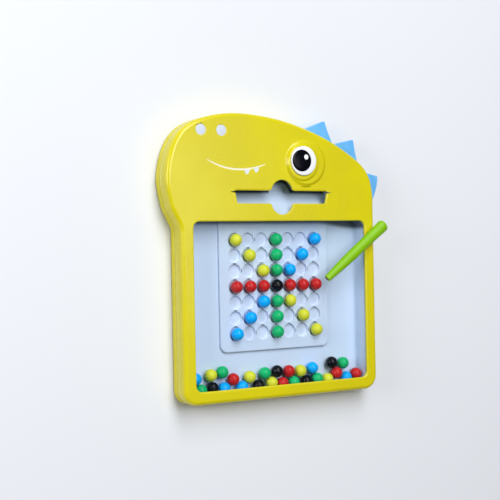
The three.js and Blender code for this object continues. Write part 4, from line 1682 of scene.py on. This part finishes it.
@dataclass
class CaseScrews:
    """Nine countersunk cross-head screws in the posts, with their heads to the back."""

    layout: Layout
    finish: bpy.types.Material
    head_radius: float = 1.95
    seat: float = 3.95
    head_rise: float = 1.5
    dome: float = 0.5
    shank_radius: float = 1.05
    reach: float = 17.5
    cross_half: float = 0.32
    cross_reach: float = 1.15
    cross_depth: float = 0.9
    cross_soft: Pair = (0.12, 0.2)
    ridges: int = 18
    ridge_depth: float = 0.18
    ridge_step: float = 0.7

    def build_one(self, number: int, x: float, y: float) -> None:
        """A screw as a grid of angle and reach.

        The head's height is a shallow dome; a cross of two soft bars is sunk into it, deepest
        in the middle. The shank is turned, with its thread as a row of small ridges.

        Args:
            number: the screw's number, for its name.
            x, y: where its axis stands.
        """
        angles = angles_round(48)
        shares = np.linspace(0.02, 1, 22)[:, None]
        reach, (side, end) = shares * self.head_radius, self.cross_soft
        across, along = reach * np.cos(angles), reach * np.sin(angles)
        bar = np.minimum(np.abs(across), np.abs(along))
        sunk = np.clip((self.cross_half - bar) / side, 0, 1)
        sunk = sunk * np.clip((self.cross_reach - reach) / end, 0, 1)
        height = self.seat - self.head_rise + self.dome * shares**4
        height = height + sunk * self.cross_depth * (1 - 0.4 * shares)
        head = np.stack([x + across, y + along, height], axis=-1)
        thread = [(self.shank_radius - self.ridge_depth * (k % 2),
                   self.seat + 2 + self.ridge_step * k) for k in range(self.ridges)]
        profile = [(self.head_radius, self.seat), (self.shank_radius, self.seat), *thread,
                   (0.3, self.reach)]
        skin = Skin.solid(np.concatenate([head, turned(profile, x, y, len(angles))]))
        add_piece(skin, f"case_screw_{number}", self.finish, Slot.STEEL.value)

    def build(self) -> None:
        """Builds one screw at each place."""
        for number, (x, y) in enumerate(self.layout.screw_places(), 1):
            self.build_one(number, x, y)


@dataclass
class Pen:
    """The pen, modelled on its tip along +Y and then laid across the border."""

    layout: Layout
    finish: bpy.types.Material
    steel: bpy.types.Material
    length: float = 81.55
    tip_x: float = 46.3
    tip_lift: float = 20.5
    turn: float = 38.4
    tip: float = 3.4
    tip_round: float = 0.8
    middle: float = 5.16
    middle_share: float = 0.5
    tail: float = 5.86
    tail_round: float = 3.2
    flat_share: float = 0.84
    magnet: float = 1.8
    magnet_depth: float = 3.0
    magnet_proud: float = 0.5
    play: float = 0.3
    bore_ease: float = 0.15
    tail_end: float = 0.15
    seam: float = 0.06
    seam_width: float = 0.05

    def radius_at(self, share: np.ndarray) -> np.ndarray:
        """The barrel's radius: a sine from tip to middle, then a square towards the tail."""
        front = self.tip + (self.middle - self.tip) * np.sin(
            np.minimum(share / self.middle_share, 1) * QUARTER
        )
        rear = np.clip((share - self.middle_share) / (1 - self.middle_share), 0, 1) ** 2
        return front + (self.tail - self.middle) * rear

    def laid(self, rows: np.ndarray) -> np.ndarray:
        """Flattens, leans, turns and places rows of points as the frame's pen lies."""
        flat = self.flat_share
        turn = math.radians(self.turn)
        run = (self.layout.half_window + 1 - self.tip_x) / math.cos(turn)
        tip_high = self.layout.face_base + self.tip * flat
        edge_high = self.layout.face_top + self.play + self.middle * flat
        lean = math.atan2(edge_high - tip_high, run)
        lift = tip_high + self.tip * math.sin(lean) * flat
        place = Matrix.Translation((self.tip_x, self.tip_lift, lift))
        place = place @ Matrix.Rotation(turn - QUARTER, 4, "Z") @ Matrix.Rotation(lean, 4, "X")
        place = np.array(place @ Matrix.Diagonal((1, 1, flat, 1)))
        return rows @ place[:3, :3].T + place[:3, 3]

    def lathe(self, profile: list[Pair], count: int) -> np.ndarray:
        """A profile of radius and length turned about +Y."""
        return turned(profile, 0, 0, count)[..., [1, 2, 0]]

    def build_barrel(self) -> None:
        """The barrel: bore, blunt nose, sine body and round tail, with a fine seam line.

        The seam is a groove along both sides, where the two halves of the mould met: the
        radius falls by a narrow bell of the angle from the side.
        """
        straight, nose = self.length - self.tail_round, self.tip - self.tip_round
        shares = np.linspace(0, 1, 40)
        bore, ease = self.magnet + self.play, self.bore_ease
        inside = [(bore, self.magnet_depth), (bore, ease), (bore + ease, 0.0), (nose, 0.0)]
        profile = inside + [(nose + up, i) for i, up in fillet(self.tip_round, 5)[1:-1]]
        body = self.tip_round + (straight - self.tip_round) * shares
        profile += list(zip(self.radius_at(shares).tolist(), body.tolist()))
        profile += [(self.tail - i, straight + up) for i, up in fillet(self.tail_round, 14)[1:]]
        profile.append((self.tail_end, self.length))
        rows = self.lathe(profile, 96)
        around = np.arctan2(rows[..., 2], rows[..., 0])
        off_side = np.minimum(np.abs(around), math.pi - np.abs(around))
        groove = 1 - self.seam / self.middle * np.exp(-((off_side / self.seam_width) ** 2))
        rows[len(inside):, :, 0] *= groove[len(inside):]
        skin = Skin.solid(self.laid(rows))
        add_piece(skin, "pen_body", self.finish, Slot.PEN.value, "pen_barrel", body="pen")

    def build_magnet(self) -> None:
        """The magnet: a short rod with an eased end that stands proud of the nose."""
        radius, proud = self.magnet, self.magnet_proud
        profile = [(radius - inwards, up - proud) for inwards, up in EASED]
        profile.append((radius, self.magnet_depth - self.play))
        skin = Skin.solid(self.laid(self.lathe(profile, 48)))
        add_piece(skin, "pen_magnet_rod", self.steel, Slot.STEEL.value, "pen_magnet", body="pen")

    def build(self) -> None:
        """Builds the barrel and the magnet."""
        self.build_barrel()
        self.build_magnet()


@dataclass
class Beads:
    """The balls: each one stands for its node, where the frame has it at rest."""

    finishes: dict[BeadColour, bpy.types.Material]
    bodies: dict[str, str]
    radius: float = 5.68
    rings: int = 22
    sides: int = 36
    seam: float = 0.035
    seam_width: float = 0.06

    def ball(self, centre: np.ndarray) -> Skin:
        """A ball of latitude and longitude, with a faint moulding seam round its middle."""
        up = np.linspace(-QUARTER, QUARTER, self.rings + 1)[1:-1]
        radii = self.radius - self.seam * (1 - np.exp(-((up / self.seam_width) ** 2)))
        profile = list(zip(radii * np.cos(up), radii * np.sin(up)))
        rows = turned(profile, 0, 0, self.sides) + centre
        skin = Skin()
        skin.grid(rows)
        pole = np.array([0, 0, self.radius - self.seam])
        skin.fan(rows[0], centre - pole)
        skin.fan(rows[-1], centre + pole)
        return skin

    def build(self) -> None:
        """Builds a ball for each bead of the frame, in the colour that its name says."""
        for colour, material in self.finishes.items():
            for node in sorted(n for n in self.bodies if n.startswith(colour.value + "_")):
                low, high = (np.array(corner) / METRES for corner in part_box(node))
                skin, name = self.ball((low + high) / 2), node.replace("bead", "ball")
                add_piece(skin, name, material, colour.value, node, body=self.bodies[node])


@dataclass
class Studio:
    """A plain pale floor, soft light and the camera at the photograph's angle.

    A lamp is its name, its place in metres, its width and length, and its power.
    """

    place: Triple = (-508.3, 50.7, 847.2)
    ahead: Triple = (0.49792, -0.00199, -0.86722)
    up: Triple = (0.01833, 0.9998, 0.00823)
    lens: float = 76.42
    floor_half: float = 2500.0
    floor_height: float = -0.3
    floor_colour: Colour = (226, 229, 235)
    sky: float = 0.05
    aim: Triple = (0.0, 0.04, 0.0)
    lamps: tuple[tuple[str, Triple, Pair, float], ...] = (
        ("key_lamp", (-0.08, 1.3, 2.0), (1.0, 2.6), 65.0),
        ("glow_lamp", (0.4, 0.12, 1.3), (0.45, 0.5), 1.6),
        ("side_lamp", (-1.2, 0.3, 0.5), (0.6, 0.6), 6.8),
        ("foot_lamp", (-0.2, -1.2, 0.22), (0.9, 0.3), 2.0),
    )

    def stand(self, name: str, data: bpy.types.ID) -> bpy.types.Object:
        """Puts a camera, a lamp or the floor into the scene."""
        thing = bpy.data.objects.new(name, data)
        bpy.context.scene.collection.objects.link(thing)
        return thing

    def build_camera(self) -> None:
        """Sets the camera from its direction and the way up, as fitted to the board."""
        data = bpy.data.cameras.new("front_camera")
        data.lens = self.lens
        data.sensor_width = 36.0
        data.clip_start = 0.01
        camera = self.stand("front_camera", data)
        ahead = Vector(self.ahead).normalized()
        right = ahead.cross(Vector(self.up)).normalized()
        turn = Matrix((right, right.cross(ahead), -ahead)).transposed().to_4x4()
        camera.matrix_world = Matrix.Translation(Vector(self.place) * METRES) @ turn
        bpy.context.scene.camera = camera

    def build_floor(self) -> None:
        """A wide floor just under the board, pale for the camera and matt."""
        half = self.floor_half
        corners = np.array([(-half, -half), (half, -half), (half, half), (-half, half)])
        places = at_height(corners, self.floor_height) * METRES
        mesh = bpy.data.meshes.new("floor")
        mesh.from_pydata(places.tolist(), [], [(0, 1, 2, 3)])
        paper = Look("floor_paper")
        paper.dress({"Base Color": linear(self.floor_colour), "Roughness": 0.9})
        mesh.materials.append(paper.material)
        floor = self.stand("floor", mesh)

    def add_lamp(self, name: str, place: Triple, size: Pair, power: float) -> None:
        """A soft lamp, so wide and so long, that faces the board's middle."""
        data = bpy.data.lights.new(name, "AREA")
        data.shape = "RECTANGLE"
        data.size, data.size_y = size
        data.energy = power
        turn = (Vector(self.aim) - Vector(place)).to_track_quat("-Z", "Y")
        lamp = self.stand(name, data)
        lamp.matrix_world = Matrix.Translation(place) @ turn.to_matrix().to_4x4()

    def build(self) -> None:
        """Builds floor, sky, lamps and camera."""
        scene = bpy.context.scene
        scene.view_settings.view_transform = "Standard"
        world = bpy.data.worlds.new("soft_sky")
        world.use_nodes = True
        sky = world.node_tree.nodes["Background"]
        sky.inputs["Color"].default_value = (1.0, 1.0, 1.0, 1.0)
        sky.inputs["Strength"].default_value = self.sky
        scene.world = world
        for lamp in self.lamps:
            self.add_lamp(*lamp)
        self.build_floor()
        self.build_camera()


def finishes() -> dict[str, bpy.types.Material]:
    """The board's finishes, by the part that wears them."""
    looks = {
        "casing": Plastic("casing_plastic", (214, 203, 12), (208, 196, 10), (226, 217, 70),
                          (204, 190, 24), roughness=0.25),
        "rear": Plastic("rear_plastic", (212, 201, 20), (206, 194, 16), (225, 216, 76),
                        (194, 179, 24), roughness=0.46, depth=0.02, specular=0.35),
        # the tray's last colour is painted shade in its concave corners
        "tray": TrayPlastic("tray_plastic", (201, 220, 246), (197, 217, 243), (222, 233, 249),
                            (118, 138, 166), roughness=0.38, clouds=12.0, specular=0.3),
        "window": Plastic("window_plastic", (60, 72, 88), (58, 70, 86), (80, 92, 108),
                          (54, 66, 82), roughness=0.06, depth=0.001, alpha=0.02),
        "crest": Plastic("crest_plastic", (96, 178, 242), (88, 170, 237), (146, 203, 248),
                         (72, 150, 214), roughness=0.4, specular=0.3),
        "white": Plastic("white_paint", (240, 243, 249), (236, 240, 247), (248, 250, 253),
                         (216, 222, 232), roughness=0.26, depth=0.003, specular=0.25),
        "inlay": Plastic("inlay_paint", (208, 216, 232), (203, 212, 229), (226, 232, 243),
                         (196, 206, 222), roughness=0.4, depth=0.003, specular=0.2),
        "cream": Plastic("cream_paint", (236, 234, 206), (232, 230, 198), (244, 242, 222),
                         (218, 210, 150), roughness=0.4, depth=0.003, specular=0.2),
        "black": PupilPlastic("black_paint", (9, 9, 18), (7, 7, 14), (28, 28, 38),
                              (20, 20, 28), roughness=0.2, depth=0.002, specular=0.12),
        "pen": Plastic("pen_plastic", (130, 188, 10), (124, 184, 14), (166, 212, 74),
                       (104, 158, 22), roughness=0.36, depth=0.006, specular=0.2),
        "steel": Steel("plated_steel"),
    }
    return {part: look.material() for part, look in looks.items()}


def bead_finishes() -> dict[BeadColour, bpy.types.Material]:
    """The beads' finishes, by colour."""
    shades = {
        BeadColour.YELLOW: ((214, 221, 58), (206, 213, 50)),
        BeadColour.GREEN: ((20, 184, 112), (16, 174, 104)),
        BeadColour.BLUE: ((4, 174, 255), (2, 166, 250)),
        BeadColour.RED: ((196, 34, 34), (188, 28, 30)),
        BeadColour.BLACK: ((10, 10, 18), (8, 8, 14)),
    }
    made = {}
    for colour, (tone, shade) in shades.items():
        pale = tuple(min(255, int(channel * 0.9 + 25)) for channel in tone)
        look = Plastic(f"{colour.value}_plastic", tone, shade, pale, shade,
                       roughness=0.28, depth=0.004, clouds=60.0, specular=0.2)
        made[colour] = look.material()
    return made


def main() -> None:
    """Loads the frame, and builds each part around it."""
    logging.basicConfig(level=logging.INFO, format="%(name)s: %(message)s")
    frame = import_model()
    looks = finishes()
    layout, marks = Layout(), FaceMarks()
    FrontShell(layout, marks, looks["casing"]).build()
    FacePaint(layout, marks, looks["inlay"], looks["cream"]).build()
    RearCover(layout, looks["rear"]).build()
    tray = BeadTray(layout, marks, looks["tray"])
    tray.build()
    ClearWindow(tray, looks["window"]).build()
    Crest(layout, looks["crest"]).build()
    Eye(marks, looks["white"], looks["black"]).build()
    CaseScrews(layout, looks["steel"]).build()
    Pen(layout, looks["pen"], looks["steel"]).build()
    Beads(bead_finishes(), node_bodies(frame["record"])).build()
    Studio().build()


if __name__ == "__main__":
    main()
